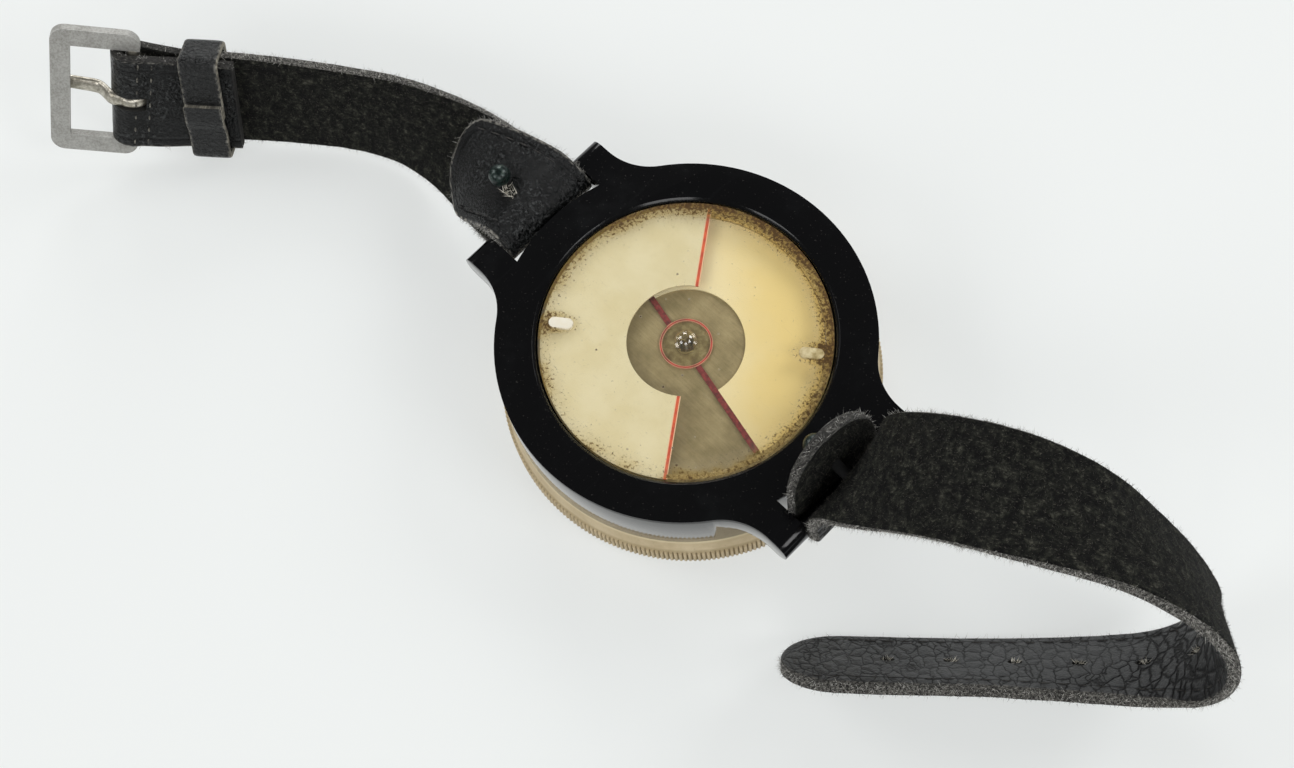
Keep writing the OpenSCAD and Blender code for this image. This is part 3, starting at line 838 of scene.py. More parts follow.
HOUSING_BLACK = BlackMoulding("housing_black")
BARREL = BarrelMoulding("barrel_black")
TAN = TanMoulding("bezel_tan")
PANE = Pane("window_pane")
PANE_SIDE = Pane("window_underside", 0.0, 0.1)
CRYSTAL = Pane("front_crystal_clear", 0.04, 0.3)
BEAD = GlassBead("dome_glass")
CREAM = Enamel("course_cream", "E0D4AA", "D8CA9B", 6)
YELLOW = AgedYellow("card_yellow")
ORANGE = CourseOrange("course_orange")
RED = CardRed("card_red")
PEGS = PegPlastic("peg_plastic")
CARD = HazyShadedCard("card_haze_and_shade")
MAGNET = RustySteel("magnet_rust")
ALLOY = Metal("buckle_alloy", "B8B7B3", "96958F", 0.44, 0.4, 0.55)
ALLOY_EDGE = Metal("buckle_bright_edge", "EBEBE9", "D8D8D5", 0.24, 0.3, 0.7)
STEEL = Metal("prong_steel", "D0CBBF", "928C7D", 0.2, 0.5, 0.85)
SPRING = Metal("spring_steel", "A7A9AB", "7D7F80", 0.28, 0.4)
BRASS = Metal("hub_brass", "B09C64", "867344", 0.5, 0.4, 0.4)
PIN = Metal("pivot_steel", "9C8C62", "6B5B38", 0.4, 0.3, 0.5)
JEWEL = Enamel("pivot_jewel", "B2334E", "8A2138", 0.6)
STUD = StudGloss("stud_lacquer")
# Painted shade: the stud's neck is painted near black, for the shade between the strap's layers.
STUD_NECK_SHADE = Fibre("stud_neck_painted_shade", "090909", "050505")
GRAIN = GrainLeather("hole_strap_grain")
SMOOTH_GRAIN = GrainLeather("buckle_strap_grain", 1.5, 0.16, "0E0F0F", "060707", 0.16, 0.3, 0.0, 1.0, 0.22, 0.75)
KEEPER_GRAIN = GrainLeather("keeper_grain", 1.1, 0.45, "1C1D1D", "0F1010", 0.2, 0.24, 0.0, 0.9, 0.3, 0.5)
SUEDE = Suede("strap_suede")
EDGE = CutEdge("strap_cut_edge")
KEEPER_EDGE = CutEdge("keeper_cut_edge", "B3AE9F", "6B675C", 1.0)
THREAD = Fibre("sewing_thread", "3A3835", "1D1C1B")
WAXED = Fibre("buckle_thread", "807D73", "2A2825")
NAP = Fibre("suede_nap", "514E46", "161512")
FRILL = Fibre("edge_fibres", "D8D6CF", "4C4A45")
TORN = Fibre("torn_fibres", "DAD6CA", "A19C8E")
TICK = Fibre("bezel_marks", "F1E9D0", "D8CDAB")
INK = Fibre("dial_ink", "2E2C27", "1B1A17")
SEAL = Perished("perished_seal")
PAPER = Tabletop("studio_floor")


class Body(Enum):
    """The moving bodies of the frame."""

    HOUSING = "housing"
    CAPSULE = "capsule"
    CARD = "card"
    BUCKLE_STRAP = "buckle_strap"
    KEEPER = "keeper"
    BUCKLE = "buckle"
    PRONG = "prong"
    HOLE_STRAP = "hole_strap"


def wear(mesh: bpy.types.Mesh, *finishes: Finish) -> None:
    """Add finishes to a mesh, in the order of its material indices."""
    for finish in finishes:
        mesh.materials.append(finish.material())


def piece(name: str, mesh: bpy.types.Mesh, body: Body, finishes: Sequence[Finish] = (),
          replaces: Sequence[str] = ()) -> None:
    """Put a finished mesh into the scene and tie it to its body.

    Args:
        name: Name of the piece.
        mesh: Its mesh, in metres in the shared frame.
        body: Body that carries it.
        finishes: Finishes in the order of the mesh's material indices; none where the mesh has its own.
        replaces: CAD nodes that it stands for.
    """
    mesh.name = name
    wear(mesh, *finishes)
    obj = bpy.data.objects.new(name, mesh)
    bpy.context.scene.collection.objects.link(obj)
    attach(obj, body.value)
    if replaces:
        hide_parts(*replaces)
    LOG.info("%s rides on %s, %d faces", name, body.value, len(mesh.polygons))


def dress(finishes: dict[str, Finish]) -> None:
    """Give CAD nodes that stay in view their finish.

    Args:
        finishes: Finish by node.
    """
    for node, finish in finishes.items():
        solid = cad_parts[node].data
        solid.materials.clear()
        wear(solid, finish)
        LOG.info("%s keeps its solid", node)


def bench(data: Any) -> bpy.types.Object:
    """Hold a mesh or a text in a work object.

    Args:
        data: The mesh or text.

    Returns:
        The object.
    """
    obj = bpy.data.objects.new("bench", data)
    bpy.context.scene.collection.objects.link(obj)
    return obj


def evaluated(obj: bpy.types.Object) -> bpy.types.Mesh:
    """Plain mesh of an object with its modifiers, after which the object is removed.

    Args:
        obj: Work object with live modifiers.

    Returns:
        The resulting mesh.
    """
    graph = bpy.context.evaluated_depsgraph_get()
    mesh = bpy.data.meshes.new_from_object(obj.evaluated_get(graph), preserve_all_data_layers=True, depsgraph=graph)
    bpy.data.objects.remove(obj)
    return mesh


def smoothed(mesh: bpy.types.Mesh, angle: float) -> bpy.types.Mesh:
    """Shade a mesh smooth, but for its sharper edges.

    Args:
        mesh: The mesh.
        angle: Least angle of a sharp edge, in degrees.

    Returns:
        The same mesh.
    """
    mesh.shade_smooth()
    mesh.set_sharp_from_angle(angle=math.radians(angle))
    return mesh


@contextmanager
def reworked(mesh: bpy.types.Mesh) -> Iterator[bmesh.types.BMesh]:
    """Open a mesh for changes, and write it back.

    Args:
        mesh: The mesh.

    Yields:
        Its editable form.
    """
    work = bmesh.new()
    work.from_mesh(mesh)
    yield work
    work.to_mesh(mesh)
    work.free()


def mesh_from(points: Any, faces: Sequence[Sequence[int]], edges: Sequence[Sequence[int]] = (),
              closed: bool = True) -> bpy.types.Mesh:
    """Mesh in metres from points in millimetres.

    Args:
        points: Rows of x, y, z.
        faces: Rows of point indices.
        edges: Pairs of point indices, where the mesh is only lines.
        closed: Whether its doubles are merged and its faces turned outwards.

    Returns:
        The mesh.
    """
    mesh = bpy.data.meshes.new("mesh")
    mesh.from_pydata((np.asarray(points, float) * MM).tolist(), edges, faces)
    if closed:
        with reworked(mesh) as work:
            bmesh.ops.remove_doubles(work, verts=work.verts, dist=MERGE)
            bmesh.ops.recalc_face_normals(work, faces=work.faces)
    return mesh


def joined(meshes: Sequence[bpy.types.Mesh]) -> bpy.types.Mesh:
    """One mesh of several, its doubles merged.

    Args:
        meshes: The meshes.

    Returns:
        The whole.
    """
    whole = bpy.data.meshes.new("whole")
    with reworked(whole) as work:
        for mesh in meshes:
            work.from_mesh(mesh)
        bmesh.ops.remove_doubles(work, verts=work.verts, dist=MERGE)
    return whole


def marked(mesh: bpy.types.Mesh, name: str, values: Any) -> None:
    """Keep a number for each point on a mesh, under a name that the finishes read."""
    layer = mesh.attributes.new(name, "FLOAT", "POINT")
    layer.data.foreach_set("value", np.ascontiguousarray(values, np.float32).ravel())


def ring_faces(rings: int, count: int, closed: bool = False) -> list[tuple[int, ...]]:
    """Faces between rings of points that follow each other.

    Args:
        rings: Number of rings.
        count: Points in each ring.
        closed: Whether the last ring meets the first.

    Returns:
        Rows of point indices.
    """
    faces = []
    for i in range(rings if closed else rings - 1):
        a, b = i * count, (i + 1) % rings * count
        faces += [(a + j, a + (j + 1) % count, b + (j + 1) % count, b + j) for j in range(count)]
    return faces


def lathe(profile: Sequence[tuple[float, float]], steps: int,
          reach: Optional[Callable[[np.ndarray, int], np.ndarray]] = None) -> bpy.types.Mesh:
    """Turned solid about the Z axis.

    Args:
        profile: Closed outline as radius and height in millimetres.
        steps: Steps round the axis.
        reach: Radius by angle for a profile point's index, where the form isn't round.

    Returns:
        The mesh.
    """
    angle = np.arange(steps) * 2 * math.pi / steps
    rows = []
    for j, (r, z) in enumerate(profile):
        ring = np.full(steps, r) if reach is None else reach(angle, j)
        rows.append(np.stack([ring * np.cos(angle), ring * np.sin(angle), np.full(steps, z)], 1))
    return mesh_from(np.concatenate(rows), ring_faces(len(profile), steps, True))


def cad_copy(node: str, flat: float = 0.0) -> bpy.types.Mesh:
    """Copy of a CAD node's mesh, its doubles merged and its materials taken off.

    Args:
        node: The node.
        flat: Faces that meet at a smaller angle than this, in degrees, become one.

    Returns:
        The mesh.
    """
    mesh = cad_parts[node].data.copy()
    mesh.materials.clear()
    with reworked(mesh) as work:
        bmesh.ops.remove_doubles(work, verts=work.verts, dist=CAD_MERGE)
        if flat:
            bmesh.ops.dissolve_limit(work, angle_limit=math.radians(flat), verts=work.verts, edges=work.edges)
    return mesh


def softened(node: str, width: float, *finishes: Finish) -> bpy.types.Mesh:
    """Copy of a CAD node with rounded edges.

    Args:
        node: The node.
        width: Width of the rounding in millimetres.
        finishes: Finish of the faces, and of the roundings where theirs is another.

    Returns:
        The mesh.
    """
    sharp, segments = 35, 3
    mesh = cad_copy(node, 0.5)
    wear(mesh, *finishes)
    obj = bench(mesh)
    bevel = obj.modifiers.new("rounding", "BEVEL")
    bevel.material = len(finishes) - 1
    bevel.width, bevel.segments = width * MM, segments
    bevel.limit_method, bevel.angle_limit = "ANGLE", math.radians(sharp)
    return smoothed(evaluated(obj), sharp)


def widened(node: str, start: float, radius: float) -> bpy.types.Mesh:
    """Copy of a round CAD node whose outer wall is moved out.

    Args:
        node: The node.
        start: Points farther from the axis than this are moved.
        radius: Where they go.

    Returns:
        The mesh.
    """
    mesh = cad_copy(node)
    for vert in mesh.vertices:
        r = math.hypot(vert.co.x, vert.co.y)
        if r > start * MM:
            vert.co.x *= radius * MM / r
            vert.co.y *= radius * MM / r
    return smoothed(mesh, 30)


class Grower:
    """A Geometry Nodes tree with named inputs, and the mesh it grows."""

    def __init__(self, name: str, **inputs: str) -> None:
        """Make the tree and its sockets.

        Args:
            name: Name of the tree.
            inputs: Kind of socket by input name.
        """
        group = bpy.data.node_groups.new(name, "GeometryNodeTree")
        group.interface.new_socket(name="Geometry", in_out="OUTPUT", socket_type="NodeSocketGeometry")
        for key, kind in {"Geometry": "Geometry", **inputs, "Finish": "Material"}.items():
            group.interface.new_socket(name=key, in_out="INPUT", socket_type="NodeSocket" + kind)
        self.group = group
        self.tree = Tree(group)
        self.source = group.nodes.new("NodeGroupInput")

    def given(self, name: str) -> Shade:
        """A named input."""
        return Shade(self.tree, self.source.outputs[name])

    def random(self, low: Any, high: Any, seed: int) -> Shade:
        """A random number between two values for each instance."""
        return self.tree.add("FunctionNodeRandomValue", {"data_type": "FLOAT"}, {2: low, 3: high, 8: seed}, 1)

    def vector(self, *parts: Any) -> Shade:
        """A vector of up to three parts."""
        return self.tree.add("ShaderNodeCombineXYZ", None, dict(enumerate(parts)))

    def aimed(self, along: Shade) -> Shade:
        """The rotation that lays the X axis along a direction."""
        return self.tree.add("FunctionNodeAlignRotationToVector", {"axis": "X"}, {"Vector": along})

    def close(self, points: Shade, instance: Shade, rotation: Shade, scale: Shade) -> None:
        """End the tree in real, finished mesh.

        Args:
            points: Where the instances stand.
            instance: What stands there.
            rotation: How each is turned.
            scale: How large each is.
        """
        instances = self.tree.add("GeometryNodeInstanceOnPoints", None, {
            "Points": points, "Instance": instance, "Rotation": rotation, "Scale": scale})
        real = self.tree.add("GeometryNodeRealizeInstances", None, {0: instances})
        done = self.tree.add("GeometryNodeSetMaterial", None, {"Geometry": real, "Material": self.given("Finish")})
        self.tree.tree.links.new(done.socket, self.group.nodes.new("NodeGroupOutput").inputs[0])

    def grow(self, mesh: bpy.types.Mesh, values: dict[str, Any]) -> bpy.types.Mesh:
        """Run the tree on a mesh.

        Args:
            mesh: What it grows on.
            values: Values by input name.

        Returns:
            The grown mesh alone.
        """
        obj = bench(mesh)
        nodes = obj.modifiers.new("grower", "NODES")
        nodes.node_group = self.group
        for item in self.group.interface.items_tree:
            if item.in_out == "INPUT" and item.name in values:
                nodes[item.identifier] = values[item.name]
        return evaluated(obj)


class Fuzz(Grower):
    """Loose fibres that stand on a mesh where one of its marks says so."""

    def __init__(self) -> None:
        """Build the tree."""
        super().__init__("fuzz", Mark="String", Density="Float", Length="Float", Radius="Float", Lean="Float",
                         Seed="Int")
        tree, lean = self.tree, self.given("Lean")
        share = tree.add("GeometryNodeInputNamedAttribute", {"data_type": "FLOAT"}, {"Name": self.given("Mark")})
        points = tree.add("GeometryNodeDistributePointsOnFaces", {"distribute_method": "RANDOM"},
                          {"Mesh": self.given("Geometry"), "Density": self.given("Density") * share,
                           "Seed": self.given("Seed")})
        upright = Shade(tree, points.socket.node.outputs["Rotation"])
        tilt = self.vector(self.random(0 - lean, lean, 3), self.random(0 - lean, lean, 4))
        turned = tree.add("FunctionNodeRotateRotation", {"rotation_space": "LOCAL"},
                          {0: upright, 1: tree.add("FunctionNodeEulerToRotation", None, {0: tilt})})
        strand = tree.add("GeometryNodeMeshCone", {"fill_type": "NONE"},
                          {"Vertices": 3, "Side Segments": 2, "Radius Top": 0.0,
                           "Radius Bottom": self.given("Radius"), "Depth": self.given("Length")})
        self.close(points, strand, turned, self.random(0.25, 1.0, 5))


class Stitches(Grower):
    """Short stitches along an open line."""

    def __init__(self) -> None:
        """Build the tree."""
        super().__init__("stitches", Pitch="Float", Length="Float", Thickness="Float")
        tree = self.tree
        line = tree.add("GeometryNodeMeshToCurve", None, {0: self.given("Geometry")})
        row = tree.add("GeometryNodeResampleCurve", {"mode": "LENGTH"}, {"Curve": line, "Length": self.given("Pitch")})
        bead = tree.add("GeometryNodeMeshUVSphere", None, {"Segments": 6, "Rings": 5, "Radius": 0.5})
        long = self.given("Length") * self.random(0.8, 1.05, 1)
        thick = self.given("Thickness") * self.random(0.8, 1.1, 2)
        self.close(row, bead, self.aimed(tree.add("GeometryNodeInputTangent")), self.vector(long, thick, thick))


class Dial(Grower):
    """Short marks round a circle, longer at each main step."""

    def __init__(self) -> None:
        """Build the tree."""
        super().__init__("dial", Count="Int", Radius="Float", Width="Float", Length="Float", Height="Float",
                         Main="Float")
        tree = self.tree
        ring = tree.add("GeometryNodeMeshCircle", None, {"Vertices": self.given("Count"),
                                                         "Radius": self.given("Radius")})
        ring = tree.add("GeometryNodeSetPosition", None,
                        {"Geometry": ring, "Offset": self.vector(None, None, self.given("Height"))})
        outwards = tree.add("ShaderNodeVectorMath", {"operation": "MULTIPLY"},
                            {0: tree.add("GeometryNodeInputPosition"), 1: (1.0, 1.0, 0.0)})
        index = tree.add("GeometryNodeInputIndex")
        main = 1 - index.math("MODULO", index, self.given("Main")).least(1.0)
        size = self.vector(self.given("Length") * (1 + main * 0.8), self.given("Width") * (1 + main * 0.6), 0.1 * MM)
        mark = tree.add("GeometryNodeMeshCube", None, {"Size": (1.0, 1.0, 1.0)})
        self.close(ring, mark, self.aimed(outwards), size)

    def marks(self, count: int, radius: float, width: float, length: float, height: float,
              finish: Finish) -> bpy.types.Mesh:
        """Lay a ring of marks.

        Args:
            count: How many.
            radius: Radius of the ring's middle, in millimetres as all lengths here.
            width: Width of a mark.
            length: Length of a mark.
            height: Height of the ring above the bezel's face.
            finish: Their finish.

        Returns:
            The marks.
        """
        return self.grow(bpy.data.meshes.new("seed"), {
            "Count": count, "Radius": radius * MM, "Width": width * MM, "Length": length * MM, "Height": height * MM,
            "Main": 6.0, "Finish": finish.material()})


@dataclass
class Housing:
    """The black body with its lugs, and the spring ring inside it."""

    rounding: float = 0.35

    def build(self) -> None:
        """Round the body's edges and dress both pieces."""
        body = softened("housing", self.rounding, HOUSING_BLACK)
        piece("housing_body", body, Body.HOUSING, (), ["housing"])
        dress({"retaining_ring": SPRING})


@dataclass
class Bezel:
    """The tan turning ring with its fluted band and front marks."""

    flutes: int = 260
    steps_a_flute: int = 6
    flute_depth: float = 0.45
    flute_power: float = 0.7
    outer_r: float = 31.0
    flute_low: float = 0.5
    flute_high: float = 4.35
    band_r: float = 30.3
    seat_r: float = 30.2
    front_marks: int = 72
    front_marks_r: float = 27.6
    dial: Dial = field(default_factory=Dial)
    fluted: ClassVar[dict[int, float]] = {4: 0.5, 5: 1.0, 6: 1.0, 7: 1.0, 8: 0.6}

    def profile(self) -> list[tuple[float, float]]:
        """Outline of the ring, from the lip's inner edge round the outside.

        Returns:
            Radius and height of each point.
        """
        crest, low, high = self.outer_r, self.flute_low, self.flute_high
        return [(23.75, 0.0), (29.6, 0.0), (30.1, 0.12), (30.45, 0.38), (crest - 0.12, low), (crest, low + 0.15),
                (crest, (low + high) / 2), (crest, high - 0.25), (crest - 0.14, high - 0.08), (30.62, high + 0.06),
                (30.5, high + 0.18), (30.42, 5.2), (30.2, 6.6), (30.02, 7.6), (29.93, 7.9), (29.78, 8.0),
                (25.6, 8.0), (25.55, 7.9), (25.55, 0.95), (25.5, 0.9), (23.7, 0.9), (23.65, 0.8), (23.65, 0.1)]

    def hollow(self, angle: np.ndarray) -> np.ndarray:
        """How deep the flutes are by angle, from 0 on a crest to 1."""
        return 1 - np.abs(np.cos(angle * self.flutes / 2)) ** self.flute_power

    def reach(self, angle: np.ndarray, j: int) -> np.ndarray:
        """Radius of a profile point by angle, cut back in the flutes."""
        return self.profile()[j][0] - self.flute_depth * self.fluted.get(j, 0.0) * self.hollow(angle)

    def build(self) -> None:
        """Turn the ring, flute its band and lay the front marks."""
        mesh = lathe(self.profile(), self.flutes * self.steps_a_flute, self.reach)
        x, y, z = np.array([v.co for v in mesh.vertices]).T / MM
        r = np.hypot(x, y)
        band = (z > self.flute_low - 0.05) & (z < self.flute_high) & (r > self.band_r)
        seat = np.exp(-((z - self.flute_high - 0.1) / 0.18) ** 2) * 0.55 * (r > self.seat_r)
        marked(mesh, "flute", np.clip(self.hollow(np.arctan2(y, x)) * band + seat, 0, 1))
        piece("bezel_fluted_ring", smoothed(mesh, 50), Body.CAPSULE, [TAN], ["bezel_ring"])
        marks = self.dial.marks(self.front_marks, self.front_marks_r, 0.3, 1.5, 0.02, TICK)
        piece("bezel_front_marks", marks, Body.CAPSULE)


@dataclass
class Capsule:
    """The liquid capsule: window with its dome and inlays, barrel, seals, crystal and pin."""

    window_r: float = 23.2
    window_top: float = 18.7
    window_under: float = 17.67
    window_steps: int = 192
    dome_r: float = 1.8
    dome_z: float = 17.3
    dome_foot: float = 16.2
    dome_steps: int = 64
    peg_rounding: float = 0.2

    def window(self) -> bpy.types.Mesh:
        """The window's disc, its sides and underside with a finish of their own.

        Returns:
            The mesh.
        """
        top, under, r = self.window_top, self.window_under, self.window_r
        pane = lathe([(0, top), (8, top), (16, top), (21, top), (r - 0.25, top), (r - 0.06, top - 0.06),
                      (r, top - 0.25), (r, under), (0, under)], self.window_steps)
        pane.polygons.foreach_set("material_index", [int(p.center.z < (top - 0.1) * MM) for p in pane.polygons])
        return smoothed(pane, 30)

    def dome(self) -> bpy.types.Mesh:
        """The bead in the window's middle.

        Returns:
            The mesh.
        """
        low = math.asin((self.dome_foot - self.dome_z) / self.dome_r)
        arc = [(self.dome_r * math.cos(a), self.dome_z + self.dome_r * math.sin(a))
               for a in np.linspace(low, math.pi / 2, 20)]
        return smoothed(lathe([(0, self.dome_foot)] + arc, self.dome_steps), 60)

    def build(self) -> None:
        """Turn the window and its dome, and dress what lies under them."""
        piece("window_pane", self.window(), Body.CAPSULE, [PANE, PANE_SIDE], ["back_window"])
        piece("window_dome", self.dome(), Body.CAPSULE, [BEAD])
        pegs = softened("window_pegs", self.peg_rounding, PEGS)
        piece("window_peg_pair", pegs, Body.CAPSULE, (), ["window_pegs"])
        dress({"window_seal": SEAL, "course_half": CREAM, "course_line": ORANGE, "pivot_pin": PIN,
               "capsule_barrel": BARREL, "front_crystal": CRYSTAL, "crystal_seal": SEAL})


@dataclass
class Card:
    """The floating card with its line, half ring, hub, magnet and front dial."""

    face: float = 15.21
    wall_from: float = 20.5
    wall_r: float = 21.75
    mark_r: float = 18.6
    mark_count: int = 72
    number_r: float = 14.8
    number_step: int = 30
    number_size: float = 3.2
    number_thick: float = 0.05
    dial: Dial = field(default_factory=Dial)

    def number(self, angle: int) -> bpy.types.Mesh:
        """One plain number on the card's front face, readable from below.

        Args:
            angle: Its bearing in degrees.

        Returns:
            The mesh.
        """
        letters = bpy.data.curves.new("number", "FONT")
        letters.body, letters.size = str(angle // 10), self.number_size * MM
        letters.align_x, letters.align_y, letters.extrude = "CENTER", "CENTER", self.number_thick * MM
        mesh = evaluated(bench(letters))
        mesh.transform(Matrix.Rotation(math.radians(angle), 4, "Z")
                       @ Matrix.Translation((self.number_r * MM, 0, self.face * MM))
                       @ Matrix.Rotation(math.pi / 2, 4, "Z") @ Matrix.Rotation(math.pi, 4, "X"))
        return mesh

    def build(self) -> None:
        """Dress the card's pieces and mark its front face."""
        dress({"card_line": RED, "card_hub": BRASS, "card_jewel": JEWEL, "card_magnet": MAGNET})
        for node, slot, finish in (("card_disc", "clear_plastic", CARD), ("card_half", "yellow", YELLOW)):
            piece(node + "_face", widened(node, self.wall_from, self.wall_r), Body.CARD, [finish], [node])
        marks = self.dial.marks(self.mark_count, self.mark_r, 0.25, 1.6, self.face, INK)
        piece("card_front_marks", marks, Body.CARD)
        numbers = joined([self.number(angle) for angle in range(0, 360, self.number_step)])
        piece("card_front_numbers", numbers, Body.CARD, [INK])


def between(a: np.ndarray, b: np.ndarray, c: np.ndarray, d: np.ndarray, u: float) -> np.ndarray:
    """Point of a smooth line through b and c, between its neighbours a and d."""
    return (2 * b + (c - a) * u + (2 * a - 5 * b + 4 * c - d) * u ** 2 + (3 * b - a - 3 * c + d) * u ** 3) / 2


def smooth_line(stations: Sequence[Station], steps: int = 3) -> np.ndarray:
    """Rows on a smooth line through stations.

    Args:
        stations: The stations.
        steps: Rows from one station to the next.

    Returns:
        The rows.
    """
    s = np.asarray(stations, float)
    last = len(s) - 1
    rows = [between(s[max(i - 1, 0)], s[i], s[i + 1], s[min(i + 2, last)], k / steps)
            for i in range(last) for k in range(steps)]
    return np.array(rows + [s[last]])


def lengths(line: np.ndarray) -> np.ndarray:
    """Distance along a line at each of its points."""
    return np.concatenate([[0], np.cumsum(np.linalg.norm(np.diff(line, axis=0), axis=1))])


def unit(v: np.ndarray) -> np.ndarray:
    """Vector of length 1, for one vector or for rows."""
    return v / np.linalg.norm(v, axis=-1, keepdims=True)


def across(stations: np.ndarray) -> np.ndarray:
    """Direction of the strap's width at each station, from its aim and tilt."""
    aim, tilt = np.radians(stations[..., 3]), np.radians(stations[..., 4])
    return np.stack([np.cos(tilt) * np.cos(aim), np.cos(tilt) * np.sin(aim), np.sin(tilt)], -1)


class Tip(Enum):
    """How a strap's end is cut."""

    ROUND = "round"
    SQUARE = "square"


class Side(IntEnum):
    """The strap's surfaces, by material index."""

    GRAIN = 0
    SUEDE = 1
    CUT = 2


class Spot(NamedTuple):
    """A point of the strap's cross-section.

    Attributes:
        share: Share of the flat half width.
        past: Offset past it, in corner radii.
        level: On the flat of the cut edge a share of its half height, and elsewhere a drop in corner radii.
        half: 1 in the upper half and -1 in the lower.
        side: Surface of the stretch that starts there.
        flat: Whether it is on the flat of the cut edge.
    """

    share: float
    past: float
    level: float
    half: int
    side: Side
    flat: bool = False


@dataclass
class Strap:
    """A band of leather on a route of stations [x, y, z, aim, tilt, width] from its bar's centre."""

    bar: tuple[float, float, float]
    grain_up: bool
    body: Body
    thickness: float = 2.0
    loop_mid: float = 2.4
    loop_w: float = 17.8
    loop_swell: float = 0.2
    tongue_w: float = 17.0
    tongue_to: float = 30.0
    strap_w: float = 17.6
    strap_from: float = 45.0
    start_round: float = 5.6
    end_round: float = 9.0
    end_tip: Tip = Tip.ROUND
    spacing: float = 0.55
    corner: float = 0.32
    face_steps: int = 24
    frill_from: float = 13.0
    frill_to: float = 21.0
    tongue_frill: float = 0.35
    tongue_pale: float = 0.35
    sewn: float = 0.0
    sewn_frill: float = 0.12
    edge_girth: float = 0.35
    stitch_inset: float = 1.85
    stitch_lift: float = 0.98
    grain: Finish = GRAIN
    fuzz: Fuzz = field(default_factory=Fuzz)
    stitches: Stitches = field(default_factory=Stitches)

    def rings(self) -> np.ndarray:
        """The route's rings, as the solid has them."""
        raise NotImplementedError

    def loop(self, start: float, stop: float, step: float = 15) -> np.ndarray:
        """Rings round the bar.

        Args:
            start: First angle in degrees.
            stop: Last angle.
            step: Angle from ring to ring.

        Returns:
            The rings.
        """
        count = round(abs(stop - start) / step)
        return np.array([[self.loop_mid * math.cos(a), 0, self.loop_mid * math.sin(a), 90, 0,
                          self.loop_w + self.loop_swell * math.sin(math.pi * k / count)]
                         for k, a in enumerate(np.radians(np.linspace(start, stop, count + 1)))])

    def stops(self) -> np.ndarray:
        """Distances along the strap at which its section is set, closer at a round end.

        Returns:
            The distances.
        """
        turn = 1 - np.cos(np.radians(np.linspace(5, 90, 16)))
        head = self.start_round * turn
        foot = np.array([self.total])
        if self.end_tip is Tip.ROUND:
            foot = self.total - self.end_round * turn[::-1]
        body = np.linspace(head[-1], foot[0], int((foot[0] - head[-1]) / self.spacing) + 2)[1:-1]
        return np.concatenate([head, body, foot])

    def trace(self) -> None:
        """Work out the strap's centre line, its directions and its half width, section by section."""
        rings = self.rings()
        knots = np.concatenate([rings[:, :3], across(rings)], 1)
        s = lengths(rings[:, :3])
        gaps = np.diff(s)
        slope = np.diff(knots, axis=0) / gaps[:, None]
        tangent = np.empty_like(knots)
        tangent[0], tangent[-1] = slope[0], slope[-1]
        before, after = gaps[:-1, None], gaps[1:, None]
        tangent[1:-1] = (slope[:-1] * after + slope[1:] * before) / (before + after)
        self.total = s[-1]
        self.s = at = self.stops()
        i = np.clip(np.searchsorted(s, at, "right") - 1, 0, len(gaps) - 1)
        h = gaps[i][:, None]
        u = np.clip((at - s[i])[:, None] / h, 0, 1)
        value = ((1 + 2 * u) * (1 - u) ** 2 * knots[i] + u * (1 - u) ** 2 * h * tangent[i]
                 + u * u * (3 - 2 * u) * knots[i + 1] + u * u * (u - 1) * h * tangent[i + 1])
        self.mid = value[:, :3] + np.array(self.bar)
        self.t = unit(np.gradient(value[:, :3], at, axis=0))
        wide = value[:, 3:6]
        self.w = unit(wide - self.t * np.sum(wide * self.t, 1, keepdims=True))
        self.n = np.cross(self.t, self.w)
        plain = np.interp(at, [self.tongue_to, self.strap_from], [self.tongue_w, self.strap_w])
        self.full = np.maximum(plain, np.interp(at, s, rings[:, 5])) / 2
        self.half = self.full * self.tip_share()

    def ends(self) -> list[tuple[np.ndarray, float]]:
        """The round ends, each as distance from it by section, and length of its rounding."""
        far = [(self.total - self.s, self.end_round)] if self.end_tip is Tip.ROUND else []
        return [(self.s, self.start_round)] + far

    def tip_share(self) -> np.ndarray:
        """Share of the full width that the round ends leave, by section.

        Returns:
            The shares.
        """
        share = np.ones_like(self.s)
        for away, length in self.ends():
            near = np.clip(1 - away / length, 0, 1)
            share = share * np.sqrt(np.clip(1 - near ** 2, 0.0005, 1))
        return share

    def margin(self, u: np.ndarray) -> np.ndarray:
        """Distance from the strap's outline, in millimetres.

        Args:
            u: Offset from the strap's middle, by section and point.

        Returns:
            The distances.
        """
        full = self.full[:, None]
        rim = full - np.abs(u)
        for away, length in self.ends():
            near = np.clip(1 - away[:, None] / length, 0, 1)
            inside = 1 - near ** 2 - (u / full) ** 2
            grade = 2 * np.hypot(near / length, u / full ** 2) + 1e-6
            rim = np.where(near > 0, np.minimum(rim, inside / grade), rim)
        return np.clip(rim, 0, 9)

    def section(self) -> list[Spot]:
        """The band's cross-section.

        Returns:
            Its points, from one edge of the upper face round the lower one.
        """
        upper, lower = (Side.GRAIN, Side.SUEDE) if self.grain_up else (Side.SUEDE, Side.GRAIN)
        corner = [(math.sin(a), 1 - math.cos(a)) for a in (math.radians(30), math.radians(60), math.radians(90))]
        spots = []
        for half, face, other in ((1, upper, lower), (-1, lower, upper)):
            spots += [Spot(half * f, 0.0, 0.0, half, face) for f in np.linspace(1, -1, self.face_steps + 1)]
            spots += [Spot(-half, -half * past, drop, half, side)
                      for (past, drop), side in zip(corner, (face, Side.CUT, Side.CUT))]
            spots += [Spot(-half, -half, level, half, Side.CUT, True) for level in (0.5, 0.0, -0.5)]
            spots += [Spot(-half, -half * past, drop, -half, side)
                      for (past, drop), side in zip(corner[::-1], (Side.CUT, Side.CUT, other))]
        return spots

